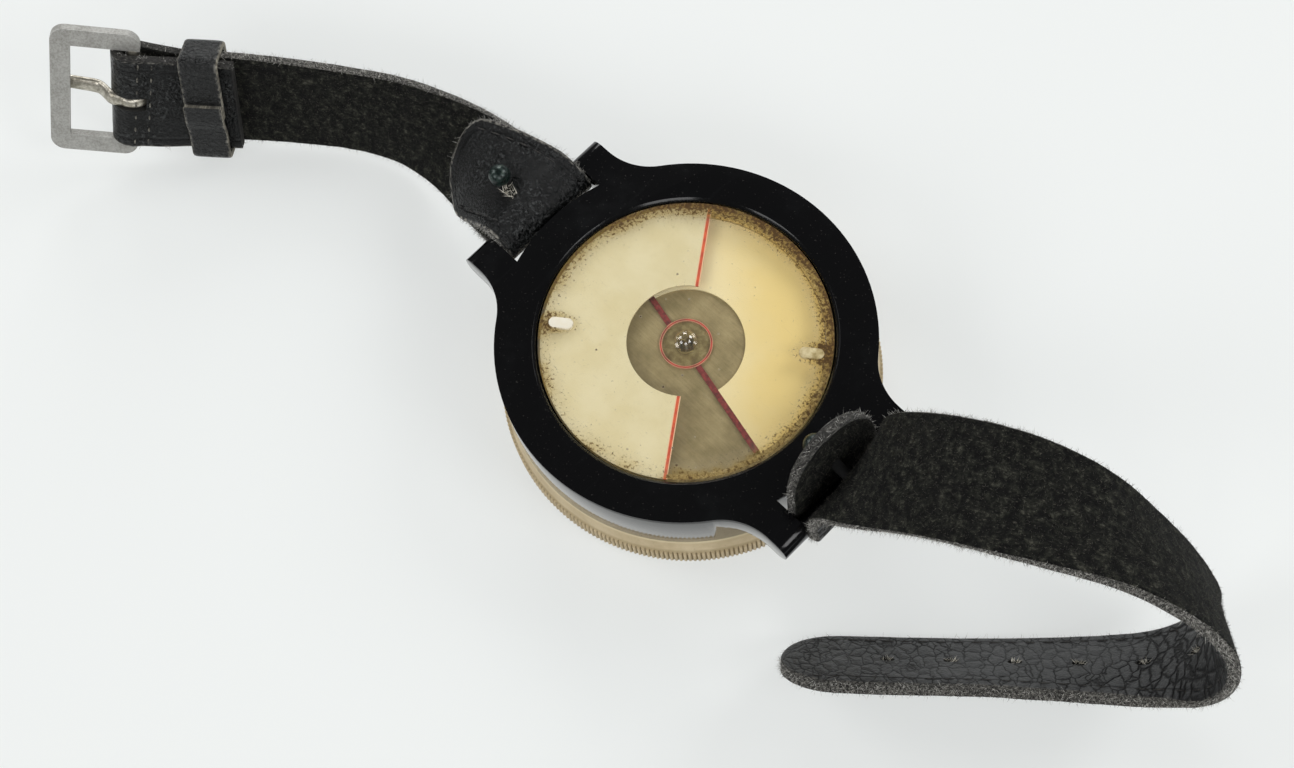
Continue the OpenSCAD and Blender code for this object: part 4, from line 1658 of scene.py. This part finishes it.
    def lumpy(self, u: np.ndarray, v: np.ndarray) -> tuple[np.ndarray, np.ndarray]:
        """Slow and quick noise over the leather.

        Args:
            u: Offsets across the strap, by section and point.
            v: Offsets through it.

        Returns:
            Both noises.
        """
        places = [Vector((a * 0.9, s * 0.9, b * 1.4)) for s, row, deep in zip(self.s, u, v) for a, b in zip(row, deep)]
        slow = [lumps.noise(q * 0.35) for q in places]
        quick = [lumps.noise(q * 2.1 + Vector((7, 3, 1))) for q in places]
        return np.reshape(slow, u.shape), np.reshape(quick, u.shape)

    def leather(self) -> bpy.types.Mesh:
        """Sweep the section along the route, with a rough edge and its marks for the finishes.

        Returns:
            The mesh, its material indices set to grain, suede and cut edge.
        """
        spots = self.section()
        m, k = len(spots), len(self.s)
        thick = self.thickness / 2
        rc = np.minimum(self.corner, 0.4 * self.half)
        u, v = np.empty((k, m)), np.empty((k, m))
        for j, spot in enumerate(spots):
            u[:, j] = spot.share * (self.half - rc) + spot.past * rc
            v[:, j] = spot.half * (spot.level * (thick - rc) if spot.flat else thick - spot.level * rc)
        on_edge = np.array([spot.flat or abs(spot.past) > 0.9 for spot in spots])
        on_grain = np.array([(spot.half > 0) == self.grain_up for spot in spots])
        slow, quick = self.lumpy(u, v)
        taper = np.clip(self.half / 4, 0, 1)[:, None]
        rough = np.where(on_edge, 0.07 * slow + 0.1 * quick, 0) * np.sign([spot.past for spot in spots])
        push = np.where(on_edge, 0, 0.06 * slow + np.where(on_grain, 0.02, 0.07) * quick) * np.sign(v)
        points = (self.mid[:, None] + self.w[:, None] * (u + rough * taper)[..., None]
                  + self.n[:, None] * (v + push * taper)[..., None])
        caps = [tuple(range(m)), tuple(reversed(range((k - 1) * m, k * m)))]
        mesh = mesh_from(points.reshape(-1, 3), ring_faces(k, m) + caps, closed=False)
        sides = [int(spot.side) for spot in spots] * (k - 1) + [int(Side.CUT)] * len(caps)
        mesh.polygons.foreach_set("material_index", sides)
        self.mark(mesh, u, on_edge, on_grain)
        self.lay_map(mesh, u, on_edge)
        with reworked(mesh) as work:
            bmesh.ops.triangulate(work, faces=[f for f in work.faces if len(f.verts) > 4])
            bmesh.ops.recalc_face_normals(work, faces=work.faces)
        wear(mesh, self.grain, SUEDE, EDGE)
        return smoothed(mesh, 60)

    def mark(self, mesh: bpy.types.Mesh, u: np.ndarray, on_edge: np.ndarray, on_grain: np.ndarray) -> None:
        """Write the rim distance, the bend, and the shares of nap, frill and paleness onto the mesh.

        Args:
            mesh: The leather.
            u: Offsets across the strap, by section and point.
            on_edge: Which points are on the cut edge.
            on_grain: Which are on the grain side.
        """
        rim = self.margin(u)
        rim[:, on_edge] = 0
        bend = np.linalg.norm(np.gradient(self.t, self.s, axis=0), axis=1)
        spread = 25
        bend = np.convolve(bend, np.full(spread, 1 / spread), "same")
        frayed, pale = (np.interp(self.s, (self.frill_from, self.frill_to), (share, 1.0))
                        for share in (self.tongue_frill, self.tongue_pale))
        for shares in (frayed, pale):
            shares[self.s > self.total - self.sewn] = self.sewn_frill
        for name, values in (("rim", rim), ("nap", ~(on_edge | on_grain)), ("frill", frayed[:, None] * on_edge),
                             ("pale", pale[:, None]), ("bend", bend[:, None])):
            marked(mesh, name, np.broadcast_to(values, u.shape))

    def lay_map(self, mesh: bpy.types.Mesh, u: np.ndarray, on_edge: np.ndarray) -> None:
        """Write the strap map: round the section, and along the run.

        Args:
            mesh: The leather.
            u: Offsets across the strap, by section and point.
            on_edge: Which points are on the cut edge.
        """
        k, m = u.shape
        girth = np.concatenate([[0], np.cumsum(np.abs(np.diff(u[k // 2])) + self.edge_girth * on_edge[:-1])])
        girth = np.append(girth, girth[-1] + self.edge_girth)
        i, j = np.divmod(np.arange((k - 1) * m), m)
        round_it = np.concatenate([np.stack([j, j + 1, j + 1, j], 1).ravel(), np.arange(m), np.arange(m)[::-1]])
        along_it = np.concatenate([np.stack([i, i, i + 1, i + 1], 1).ravel(), np.zeros(m, int), np.full(m, k - 1)])
        at = np.stack([girth[round_it], self.s[along_it]], 1) * MM
        mesh.uv_layers.new(name="strap").data.foreach_set("uv", at.astype(np.float32).ravel())

    def frame_at(self, s: float) -> tuple[np.ndarray, np.ndarray, np.ndarray, np.ndarray]:
        """Place and directions at a distance along the strap.

        Args:
            s: The distance.

        Returns:
            Middle, and the directions along, across and through.
        """
        mid, t, w, n = (np.array([np.interp(s, self.s, a[:, c]) for c in range(3)])
                        for a in (self.mid, self.t, self.w, self.n))
        return mid, unit(t), unit(w), unit(n)

    def cut(self, mesh: bpy.types.Mesh, cutters: list[bpy.types.Mesh]) -> bpy.types.Mesh:
        """Cut closed shapes out of the leather.

        Args:
            mesh: The leather.
            cutters: Closed meshes.

        Returns:
            The leather with its holes.
        """
        tool = bench(joined(cutters))
        wear(tool.data, self.grain, SUEDE, EDGE)
        tool.data.polygons.foreach_set("material_index", [int(Side.CUT)] * len(tool.data.polygons))
        obj = bench(mesh)
        boolean = obj.modifiers.new("cut", "BOOLEAN")
        boolean.operation, boolean.object, boolean.solver = "DIFFERENCE", tool, "EXACT"
        result = evaluated(obj)
        bpy.data.objects.remove(tool)
        return smoothed(result, 60)

    def pill(self, s: float, length: float, width: float, reach: float) -> bpy.types.Mesh:
        """Closed pill-shaped cutter through the middle of the leather.

        Args:
            s: Distance along the strap.
            length: Length along the strap.
            width: Width across it.
            reach: How far it goes each way from the middle.

        Returns:
            The cutter.
        """
        mid, t, w, n = self.frame_at(s)
        ring = [(math.cos(a) * width / 2 + math.copysign((length - width) / 2, math.cos(a)), math.sin(a) * width / 2)
                for a in np.radians(np.arange(9, 369, 18))]
        points = [mid + t * x + w * y + n * z for z in (-reach, reach) for x, y in ring]
        c = len(ring)
        return mesh_from(points, ring_faces(2, c) + [tuple(reversed(range(c))), tuple(range(c, 2 * c))])

    def add_stitches(self, name: str, spans: Sequence[tuple[float, float, float, float]], lift: float, pitch: float,
                     length: float, thick: float, finish: Finish) -> None:
        """Sew rows of stitches on the leather.

        Args:
            name: Name of the piece.
            spans: Start and end along the strap, and start and end offset across it, of each row.
            lift: Height from the leather's middle.
            pitch: Distance from stitch to stitch.
            length: Length of a stitch.
            thick: Its thickness.
            finish: The thread's finish.
        """
        points, edges = [], []
        for s0, s1, u0, u1 in spans:
            count = max(int(max(abs(s1 - s0), abs(u1 - u0))), 2)
            for c in range(count + 1):
                mid, _, w, n = self.frame_at(s0 + (s1 - s0) * c / count)
                if c:
                    edges.append((len(points) - 1, len(points)))
                points.append(mid + w * (u0 + (u1 - u0) * c / count) + n * lift)
        grown = self.stitches.grow(mesh_from(points, (), edges, False), {
            "Pitch": pitch * MM, "Length": length * MM, "Thickness": thick * MM, "Finish": finish.material()})
        piece(name, smoothed(grown, 80), self.body)

    def tufts(self, places: Sequence[tuple[float, float]], size: float, lift: float) -> bpy.types.Mesh:
        """Small patches that torn fibres grow from.

        Args:
            places: Distances along and offsets across the strap.
            size: Half width of a patch.
            lift: Height from the leather's middle.

        Returns:
            The patches.
        """
        points, faces = [], []
        for s, offset in places:
            mid, t, w, n = self.frame_at(s)
            ring = range(len(points), len(points) + 4)
            points += [mid + w * (offset + b * size * 0.6) + t * a * size + n * lift
                       for a, b in ((-1, -1), (1, -1), (1, 1), (-1, 1))]
            faces.append(tuple(ring) if lift > 0 else tuple(reversed(ring)))
        mesh = mesh_from(points, faces, closed=False)
        marked(mesh, "frill", np.ones(len(points)))
        return mesh

    def grow_fibres(self, name: str, mesh: bpy.types.Mesh, mark: str, density: float, length: float, radius: float,
                    seed: int, finish: Finish) -> None:
        """Grow loose fibres where a mark on a mesh says so.

        Args:
            name: Name of the piece.
            mesh: What they grow on.
            mark: Name of the mark.
            density: Fibres on a square millimetre.
            length: Longest fibre.
            radius: Radius at its root.
            seed: Seed of their places.
            finish: Their finish.
        """
        grown = self.fuzz.grow(mesh, {"Mark": mark, "Density": density / MM ** 2, "Length": length * MM,
                                      "Radius": radius * MM, "Lean": 1.15, "Seed": seed, "Finish": finish.material()})
        piece(name, grown, self.body)

    def add_fuzz(self, name: str, mesh: bpy.types.Mesh, seed: int) -> None:
        """Grow the flesh side's nap and the frill of the cut edges."""
        self.grow_fibres(name + "_nap", mesh.copy(), "nap", 3.0, 0.7, 0.04, seed, NAP)
        self.grow_fibres(name + "_edge_fibres", mesh.copy(), "frill", 13.0, 1.25, 0.04, seed + 1, FRILL)

    def add_stud(self, name: str, at: Sequence[float], axis: Sequence[float], length: float, node: str) -> None:
        """Turn a button stud: foot, neck and ball.

        Args:
            name: Name of the piece.
            at: Its place on the tongue, from the bar's centre.
            axis: Its direction.
            length: Reach from the tongue to the foot.
            node: CAD node that it stands for.
        """
        ball, foot_r, neck_r = 1.8, 3.0, 0.9
        rise = 1.4 + ball
        arc = [(ball * math.sin(a), rise - ball * math.cos(a)) for a in np.radians(np.arange(30, 181, 10))]
        outline = [(0, -length - 0.8), (foot_r - 0.25, -length - 0.8), (foot_r, -length - 0.6),
                   (foot_r, -length - 0.2), (foot_r - 0.25, -length), (neck_r + 0.15, -length + 0.02),
                   (neck_r, -length + 0.2), (neck_r, rise - ball * 0.866), *arc, (0, rise + ball)]
        mesh = lathe(outline, 40)
        # The neck gets the near-black finish: painted shade between the layers.
        neck = [int(-length * MM < p.center.z < (rise - ball * 0.85) * MM) for p in mesh.polygons]
        mesh.polygons.foreach_set("material_index", neck)
        aim = Vector(axis).normalized().to_track_quat("Z", "Y").to_matrix().to_4x4()
        mesh.transform(Matrix.Translation((Vector(self.bar) + Vector(at)) * MM) @ aim)
        piece(name, smoothed(mesh, 40), self.body, [STUD, STUD_NECK_SHADE], [node])


@dataclass
class HoleStrap(Strap):
    """The strap with the row of holes."""

    holes: int = 6
    pitch: float = 9.5
    first: float = 16.0
    hole_length: float = 2.2
    hole_width: float = 1.1
    start_round: float = 9.0
    stitches_from: float = 46.0
    stitches_end: float = 5.5
    tongue: tuple[Station, ...] = (
        (-4.2, 0, 15, 90, 0, 5), (-4.1, 0, 14.4, 90, 0, 8), (-3.85, 0, 12.9, 90, 0, 11.4),
        (-3.3, 0, 10, 90, 0, 15), (-2.75, 0, 6, 90, 0, 17), (-2.4, 0, 2.4, 90, 0, 17.8))
    run: tuple[Station, ...] = (
        (1.6, 0.1, 4, 92, 1, 17.8), (2, 0.4, 8, 98, 4, 17.2), (4.2, 1.2, 13, 108, 8, 17.6),
        (8.2, 2.6, 18.4, 115, 10, 17.6), (14, 4.6, 24, 117, 8, 17.6), (21.4, 7.4, 28, 117, 2, 17.6),
        (29.2, 10.6, 29.2, 121, -10, 17.6), (37, 14, 27.6, 130, -21, 17.6),
        (43.6, 16.6, 23.2, 138, -25, 17.6), (49.2, 18.6, 17.2, 142, -26, 17.6),
        (53.2, 19.4, 10.6, 140, -27, 17.6), (55.2, 18.8, 3.8, 132, -29, 17.6),
        (54.2, 16.4, -2.2, 123, -35, 17.6), (50.8, 12.2, -6, 120, -42, 17.6),
        (45, 6.8, -7.8, 123, -48, 17.6), (38.4, 0.8, -8.6, 129, -52, 17.6),
        (31.4, -5.6, -8.9, 135, -54, 17.6), (24.4, -12.2, -8.9, 140, -54, 17.6),
        (17.4, -18.6, -8.9, 143, -54, 17.6), (13.6, -22.2, -8.9, 144, -54, 15),
        (11.4, -24.3, -8.9, 144, -54, 9.4), (10.6, -25, -8.9, 144, -54, 4.6))

    def rings(self) -> np.ndarray:
        """Tongue, loop round the bar, and run to the tip.

        Returns:
            The rings.
        """
        run = smooth_line([self.loop(360, 375)[1], *self.run])[1:]
        return np.concatenate([smooth_line(self.tongue), self.loop(180, 375), run])

    def build(self) -> None:
        """Make the leather with its holes, stitches, fibres and stud."""
        self.trace()
        spots = [self.total - self.first - k * self.pitch for k in range(self.holes)]
        cutters = [self.pill(s, self.hole_length, self.hole_width, self.thickness) for s in spots]
        leather = self.cut(self.leather(), cutters)
        piece("hole_strap_leather", leather, self.body, (), ["hole_strap"])
        self.add_fuzz("hole_strap", leather, 11)
        inset = self.strap_w / 2 - self.stitch_inset
        margins = [(self.stitches_from, self.total - self.stitches_end, side * inset, side * inset * 0.99)
                   for side in (-1, 1)]
        self.add_stitches("hole_strap_stitches", margins, -self.stitch_lift, 2.7, 2.0, 0.32, THREAD)
        torn = self.tufts([(s, 0.1) for s in spots], 0.8, -0.9)
        self.grow_fibres("hole_strap_torn_holes", torn, "frill", 14, 1.0, 0.07, 5, TORN)
        self.add_stud("hole_strap_button", (-2.83, 0, 6.6), (-1, 0, 0.06), 6.5, "hole_strap_stud")


@dataclass(frozen=True)
class Axes:
    """Directions at the buckle's bar: along the strap, across it and through it."""

    along: tuple[float, float, float]
    wide: tuple[float, float, float]
    through: tuple[float, float, float]
    swing: float

    def unswung(self) -> np.ndarray:
        """Rows along, across and through the strap's end."""
        return np.array([self.along, self.wide, self.through])

    def swung(self) -> np.ndarray:
        """The same rows turned with the buckle.

        Returns:
            The rows.
        """
        c, s = math.cos(math.radians(self.swing)), math.sin(math.radians(self.swing))
        a, w, n = self.unswung()
        return np.array([c * a - s * n, w, s * a + c * n])


BUCKLE_AXES = Axes((-0.762535, -0.605542, 0.227725), (-0.136127, 0.494299, 0.858567),
                   (-0.632463, 0.623688, -0.459351), 8.0)
BUCKLE_BAR = np.array([-101.982, -31.8969, 13.4024])


@dataclass
class BuckleStrap(Strap):
    """The strap that folds round the buckle's bar."""

    end_tip: Tip = Tip.SQUARE
    grain: Finish = SMOOTH_GRAIN
    sewn: float = 37.0
    tongue_pale: float = 2.8
    fold_mid: float = 2.4
    sewn_gap: float = 2.4
    fold_slope: float = 0.7
    turned_rings: int = 8
    slot_low: tuple[float, float, float] = (-3.0, -1.2, -6.0)
    slot_high: tuple[float, float, float] = (6.0, 1.2, 6.0)
    turned_length: float = 19.5
    fold_rows: tuple[float, float] = (2.2, 4.6)
    fold_row_half: float = 7.6
    tongue_stitches: tuple[float, float] = (5.0, 17.5)
    tongue: tuple[Station, ...] = (
        (-18.6, -2.2, -4.4, 101, 43, 5), (-17.9, -2.1, -4.2, 101, 42, 10),
        (-16.4, -1.8, -3.7, 100, 39, 14.6), (-13.6, -1.4, -2.4, 99, 34, 17),
        (-10, -0.8, -0.8, 97, 26, 17), (-6, -0.3, 1, 93, 13, 17.2), (-2.6, 0, 2.2, 90, 3, 17.8))
    run: tuple[Station, ...] = (
        (-3.6, 0, -2.6, 90, 6, 17.8), (-8.2, 0, -3.8, 94, 22, 17.2), (-16, 0, -5.4, 101, 41, 17.6),
        (-24, -0.8, -6.5, 109, 56, 17.6), (-32, -3, -6.9, 117, 66, 17.6), (-39.6, -7, -7, 123, 70, 17.6),
        (-46.8, -11.8, -7.1, 125, 69, 17.6), (-53.8, -17, -7.1, 124, 67, 17.6),
        (-59.9, -22.3, -6.5, 122, 65, 17.6), (-63.7, -25.6, -6.1, 120, 64, 17.6),
        (-69.7, -30.4, -4.4, 109, 60, 17.6))

    def rings(self) -> np.ndarray:
        """Tongue, loop round the bar, run, fold round the buckle's bar, and the turned end.

        Returns:
            The rings.
        """
        run = smooth_line([self.loop(-75, -90)[1], *self.run])[1:]
        end = len(run) - 1
        along = unit(run[end, :3] - run[end - 1, :3])
        wide = across(run[end])
        through = np.cross(along, unit(wide - along * (wide @ along)))
        centre = run[end, :3] - through * self.fold_mid
        fold = [[*(centre + self.fold_mid * (along * math.cos(a) + through * math.sin(a))), *run[end, 3:]]
                for a in np.radians(np.arange(75, -91, -15))]
        turned = []
        for k in range(1, self.turned_rings + 1):
            i = end - k
            t = unit(run[min(i + 1, end), :3] - run[i - 1, :3])
            w = across(run[i])
            n = np.cross(t, unit(w - t * (w @ t)))
            gap = max(self.sewn_gap, 2 * self.fold_mid - k * self.fold_slope)
            turned.append([*(run[i, :3] - n * gap), *run[i, 3:]])
        return np.concatenate([smooth_line(self.tongue), self.loop(90, -90), run, np.array(fold), np.array(turned)])

    def slot(self) -> bpy.types.Mesh:
        """Closed cutter for the prong's slot, square to the strap's end.

        Returns:
            The cutter.
        """
        (x0, y0, z0), (x1, y1, z1) = self.slot_low, self.slot_high
        corners = np.array([(x, y, z) for z in (z0, z1) for x, y in ((x0, y0), (x1, y0), (x1, y1), (x0, y1))])
        caps = [(3, 2, 1, 0), (4, 5, 6, 7)]
        return mesh_from(BUCKLE_BAR + corners @ BUCKLE_AXES.unswung(), caps + ring_faces(2, 4))

    def build(self) -> None:
        """Make the leather with its prong slot, stitches, fibres and stud."""
        self.trace()
        leather = self.cut(self.leather(), [self.slot()])
        piece("buckle_strap_leather", leather, self.body, (), ["buckle_strap"])
        self.add_fuzz("buckle_strap", leather, 23)
        rows = [self.total - self.turned_length + d for d in self.fold_rows]
        fold = [(row, row, -self.fold_row_half, self.fold_row_half) for row in rows]
        self.add_stitches("buckle_fold_stitches", fold, self.thickness / 2, 2.5, 1.1, 0.34, WAXED)
        inset = self.tongue_w / 2 - self.stitch_inset
        margins = [(*self.tongue_stitches, side * inset, side * inset) for side in (-1, 1)]
        self.add_stitches("buckle_tongue_stitches", margins, self.stitch_lift, 2.7, 2.0, 0.3, THREAD)
        torn = self.tufts([(15.2, -1.2), (16.2, -1.6)], 1.0, 0.95)
        self.grow_fibres("buckle_stud_torn", torn, "frill", 9, 2.0, 0.11, 8, TORN)
        self.add_stud("buckle_strap_button", (-6.2, -0.3, 0.9), (-0.3, -0.24, 0.92), 6.1, "buckle_strap_stud")


def sweep(path: np.ndarray, side: np.ndarray, halves: np.ndarray, count: int, square: float) -> bpy.types.Mesh:
    """Sweep a rounded section along a path.

    Args:
        path: Points of the path.
        side: Direction of the section's width.
        halves: Half width and half thickness at each point.
        count: Points of the section.
        square: Power of the section's outline; 2 is an ellipse and more is squarer.

    Returns:
        The closed mesh.
    """
    k = len(path)
    t = unit(np.gradient(path, axis=0))
    w = unit(side - t * np.sum(side * t, 1, keepdims=True))
    n = np.cross(t, w)
    angle = np.arange(count) * 2 * math.pi / count
    wide, tall = (np.sign(c) * np.abs(c) ** (2 / square) for c in (np.cos(angle), np.sin(angle)))
    points = (path[:, None] + w[:, None] * (halves[:, :1] * wide)[..., None]
              + n[:, None] * (halves[:, 1:] * tall)[..., None])
    caps = [tuple(range(count)), tuple(range((k - 1) * count, k * count))]
    return mesh_from(points.reshape(-1, 3), ring_faces(k, count) + caps)


@dataclass
class Keeper:
    """The leather loop that slides on the buckle strap, lapped and sewn on its upper side."""

    at: tuple[float, float, float] = (-93.7, -22.3, 10.2)
    along: tuple[float, float, float] = (-0.747377, -0.660473, 0.0721306)
    wide: tuple[float, float, float] = (-0.226918, 0.355786, 0.906601)
    through: tuple[float, float, float] = (-0.624448, 0.661205, -0.415779)
    sunk: float = 1.2
    half_w: float = 9.85
    half_h: float = 3.25
    bend: float = 1.1
    thick: float = 1.25
    width: float = 6.6
    seam: float = -1.6
    lap: float = 3.2
    steps: int = 150
    thin_from: int = 130
    thin_step: float = 0.012
    section_points: int = 28
    end_pinch: float = 0.15
    rim_most: float = 1.2

    def path(self) -> np.ndarray:
        """Middle line of the loop, its ends lapped on the upper side.

        Returns:
            Rows of across and through offsets.
        """
        w, h, r, seam = self.half_w, self.half_h, self.bend, self.seam
        lift = self.thick * 0.78
        line = [(seam, -h)]
        for cx, cy, start in ((w - r, -h + r, -90), (w - r, h - r, 0), (-w + r, h - r, 90), (-w + r, -h + r, 180)):
            arc = np.radians(np.arange(start, start + 91, 15))
            line += [(cx + r * math.cos(a), cy + r * math.sin(a)) for a in arc]
        line += [(seam - 3.2, -h), (seam - 2.2, -h - 0.15), (seam - 0.9, -h - lift * 0.8), (seam + 0.2, -h - lift),
                 (seam + self.lap, -h - lift * 0.96)]
        line = np.array(line)
        s = lengths(line)
        at = np.linspace(0, s[-1], self.steps)
        return np.stack([np.interp(at, s, line[:, 0]), np.interp(at, s, line[:, 1])], 1)

    def build(self) -> None:
        """Sweep the loop and sort its faces into grain and cut edge."""
        flat = self.path()
        a, w, n = np.array(self.along), np.array(self.wide), np.array(self.through)
        centre = np.array(self.at) - n * self.sunk
        step = np.arange(self.steps)
        thin = np.where(step > self.thin_from, np.clip(1.0 - (step - self.thin_from) * self.thin_step, 0.7, 1), 1.0)
        ends = (step == 0) | (step == self.steps - 1)
        halves = np.stack([self.width / 2 - self.end_pinch * ends, self.thick / 2 * thin], 1)
        mesh = sweep(centre + flat[:, :1] * w + flat[:, 1:] * n, a, halves, self.section_points, 6.0)
        uv = mesh.uv_layers.new(name="strap")
        s = lengths(flat)
        off = [np.dot(np.array(v.co) / MM - centre, a) for v in mesh.vertices]
        sides = []
        for polygon in mesh.polygons:
            sides.append(int(abs(np.dot(polygon.normal, a)) > 0.6 or len(polygon.vertices) > 4))
            for loop in polygon.loop_indices:
                q = mesh.loops[loop].vertex_index
                uv.data[loop].uv = off[q] * MM, s[min(q // self.section_points, self.steps - 1)] * MM
        mesh.polygons.foreach_set("material_index", sides)
        marked(mesh, "rim", np.minimum(self.width / 2 - np.abs(off), self.rim_most))
        piece("keeper_loop", smoothed(mesh, 45), Body.KEEPER, [KEEPER_GRAIN, KEEPER_EDGE], ["strap_keeper"])


@dataclass
class Buckle:
    """The flat frame, its rod and the bent prong."""

    rounding: float = 0.3
    eye_r: float = 2.35
    wire: float = 0.92
    section_points: int = 20
    shank: tuple[Station, ...] = ((12.4, 2.2), (10.8, 2.0), (9.2, 1.8), (7.6, 1.6), (6.3, 1.4), (5.3, 1.0),
                                  (4.5, 0.1), (3.8, -0.9), (3.0, -1.65))
    blade_at: Station = (0, 0.03, 0.3, 0.42, 1)

    def prong(self) -> bpy.types.Mesh:
        """The prong: a flattened blade that runs into a round wire and its eye.

        Returns:
            The mesh.
        """
        eye = [(self.eye_r * math.cos(a), -self.eye_r * math.sin(a)) for a in np.radians(np.arange(55, 301, 15))]
        fine = smooth_line([(x, 0.0, z) for x, z in (*self.shank, *eye)], 4)
        share = np.linspace(0, 1, len(fine))
        wide = np.interp(share, self.blade_at, (0.75, 1.25, 1.35, 1.05, self.wire))
        tall = np.interp(share, self.blade_at, (0.35, 0.58, 0.66, self.wire, self.wire))
        axes = BUCKLE_AXES.swung()
        mesh = sweep(BUCKLE_BAR + fine @ axes, axes[1], np.stack([wide, tall], 1), self.section_points, 2.4)
        return smoothed(mesh, 50)

    def build(self) -> None:
        """Round the frame, dress the rod and bend the prong."""
        plate = softened("buckle_frame", self.rounding, ALLOY, ALLOY_EDGE)
        piece("buckle_plate", plate, Body.BUCKLE, (), ["buckle_frame"])
        dress({"buckle_bar": STEEL})
        piece("prong_wire", self.prong(), Body.PRONG, [STEEL], ["buckle_prong"])


@dataclass
class Studio:
    """Floor, lights and the camera at the photograph's view."""

    lens: float = 55.64
    sensor: float = 36.0
    eye: tuple[float, float, float] = (0.0944, -0.0680, 0.3074)
    right: tuple[float, float, float] = (0.7014, 0.7078, -0.0832)
    up: tuple[float, float, float] = (-0.6457, 0.6805, 0.3465)
    back: tuple[float, float, float] = (0.3018, -0.1893, 0.9344)
    floor_z: float = -0.0003
    floor_half: float = 3.0
    sky: tuple[float, float, float, float] = (0.96, 0.98, 1.0, 1.0)
    sky_strength: float = 0.12
    lamp_reach: float = 1.0
    lamp_size: float = 0.42
    lamps: tuple = (("right_lamp", 15, 42, 2.8), ("back_right_lamp", 75, 34, 3.1), ("back_left_lamp", 140, 26, 3.2),
                    ("left_lamp", 200, 34, 2.8), ("front_left_lamp", 260, 36, 2.3), ("front_right_lamp", 320, 38, 2.3))

    def build(self) -> None:
        """Lay the floor, hang the lamps and set the camera."""
        bpy.context.scene.view_settings.view_transform = "Standard"
        self.lay_floor()
        self.light()
        self.aim()

    def lay_floor(self) -> None:
        """Lay the floor."""
        half, floor = self.floor_half, bpy.data.meshes.new("floor")
        corners = ((-half, -half), (half, -half), (half, half), (-half, half))
        floor.from_pydata([(x, y, self.floor_z) for x, y in corners], [], [(0, 1, 2, 3)])
        wear(floor, PAPER)
        ground = bpy.data.objects.new("floor", floor)
        bpy.context.scene.collection.objects.link(ground)

    def light(self) -> None:
        """Set the sky and hang the lamps round the object."""
        world = bpy.data.worlds.new("studio")
        world.use_nodes = True
        colour, strength = world.node_tree.nodes["Background"].inputs[:2]
        colour.default_value, strength.default_value = self.sky, self.sky_strength
        bpy.context.scene.world = world
        for name, turn, height, power in self.lamps:
            lamp = bpy.data.lights.new(name, "AREA")
            lamp.size, lamp.energy = self.lamp_size, power
            a, e = math.radians(turn), math.radians(height)
            at = self.lamp_reach * Vector((math.cos(e) * math.cos(a), math.cos(e) * math.sin(a), math.sin(e)))
            hung = bpy.data.objects.new(name, lamp)
            hung.location = at
            hung.rotation_euler = (-at).to_track_quat("-Z", "Y").to_euler()
            bpy.context.scene.collection.objects.link(hung)

    def aim(self) -> None:
        """Set the camera where the photograph was taken."""
        camera = bpy.data.cameras.new("camera")
        camera.lens, camera.sensor_width, camera.sensor_fit = self.lens, self.sensor, "HORIZONTAL"
        camera.clip_start, camera.clip_end = 0.005, 20.0
        holder = bpy.data.objects.new("camera", camera)
        turn = Matrix((self.right, self.up, self.back)).transposed().to_4x4()
        holder.matrix_world = Matrix.Translation(self.eye) @ turn
        bpy.context.scene.collection.objects.link(holder)
        bpy.context.scene.camera = holder


def main() -> None:
    logging.basicConfig(level=logging.INFO, format="%(name)s: %(message)s")
    Studio().build()
    Housing().build()
    Bezel().build()
    Capsule().build()
    Card().build()
    HoleStrap(bar=(33.8, 0.0, 16.7), grain_up=False, body=Body.HOLE_STRAP).build()
    BuckleStrap(bar=(-33.8, 0.0, 16.7), grain_up=True, body=Body.BUCKLE_STRAP).build()
    Keeper().build()
    Buckle().build()
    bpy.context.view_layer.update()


if __name__ == "__main__":
    main()
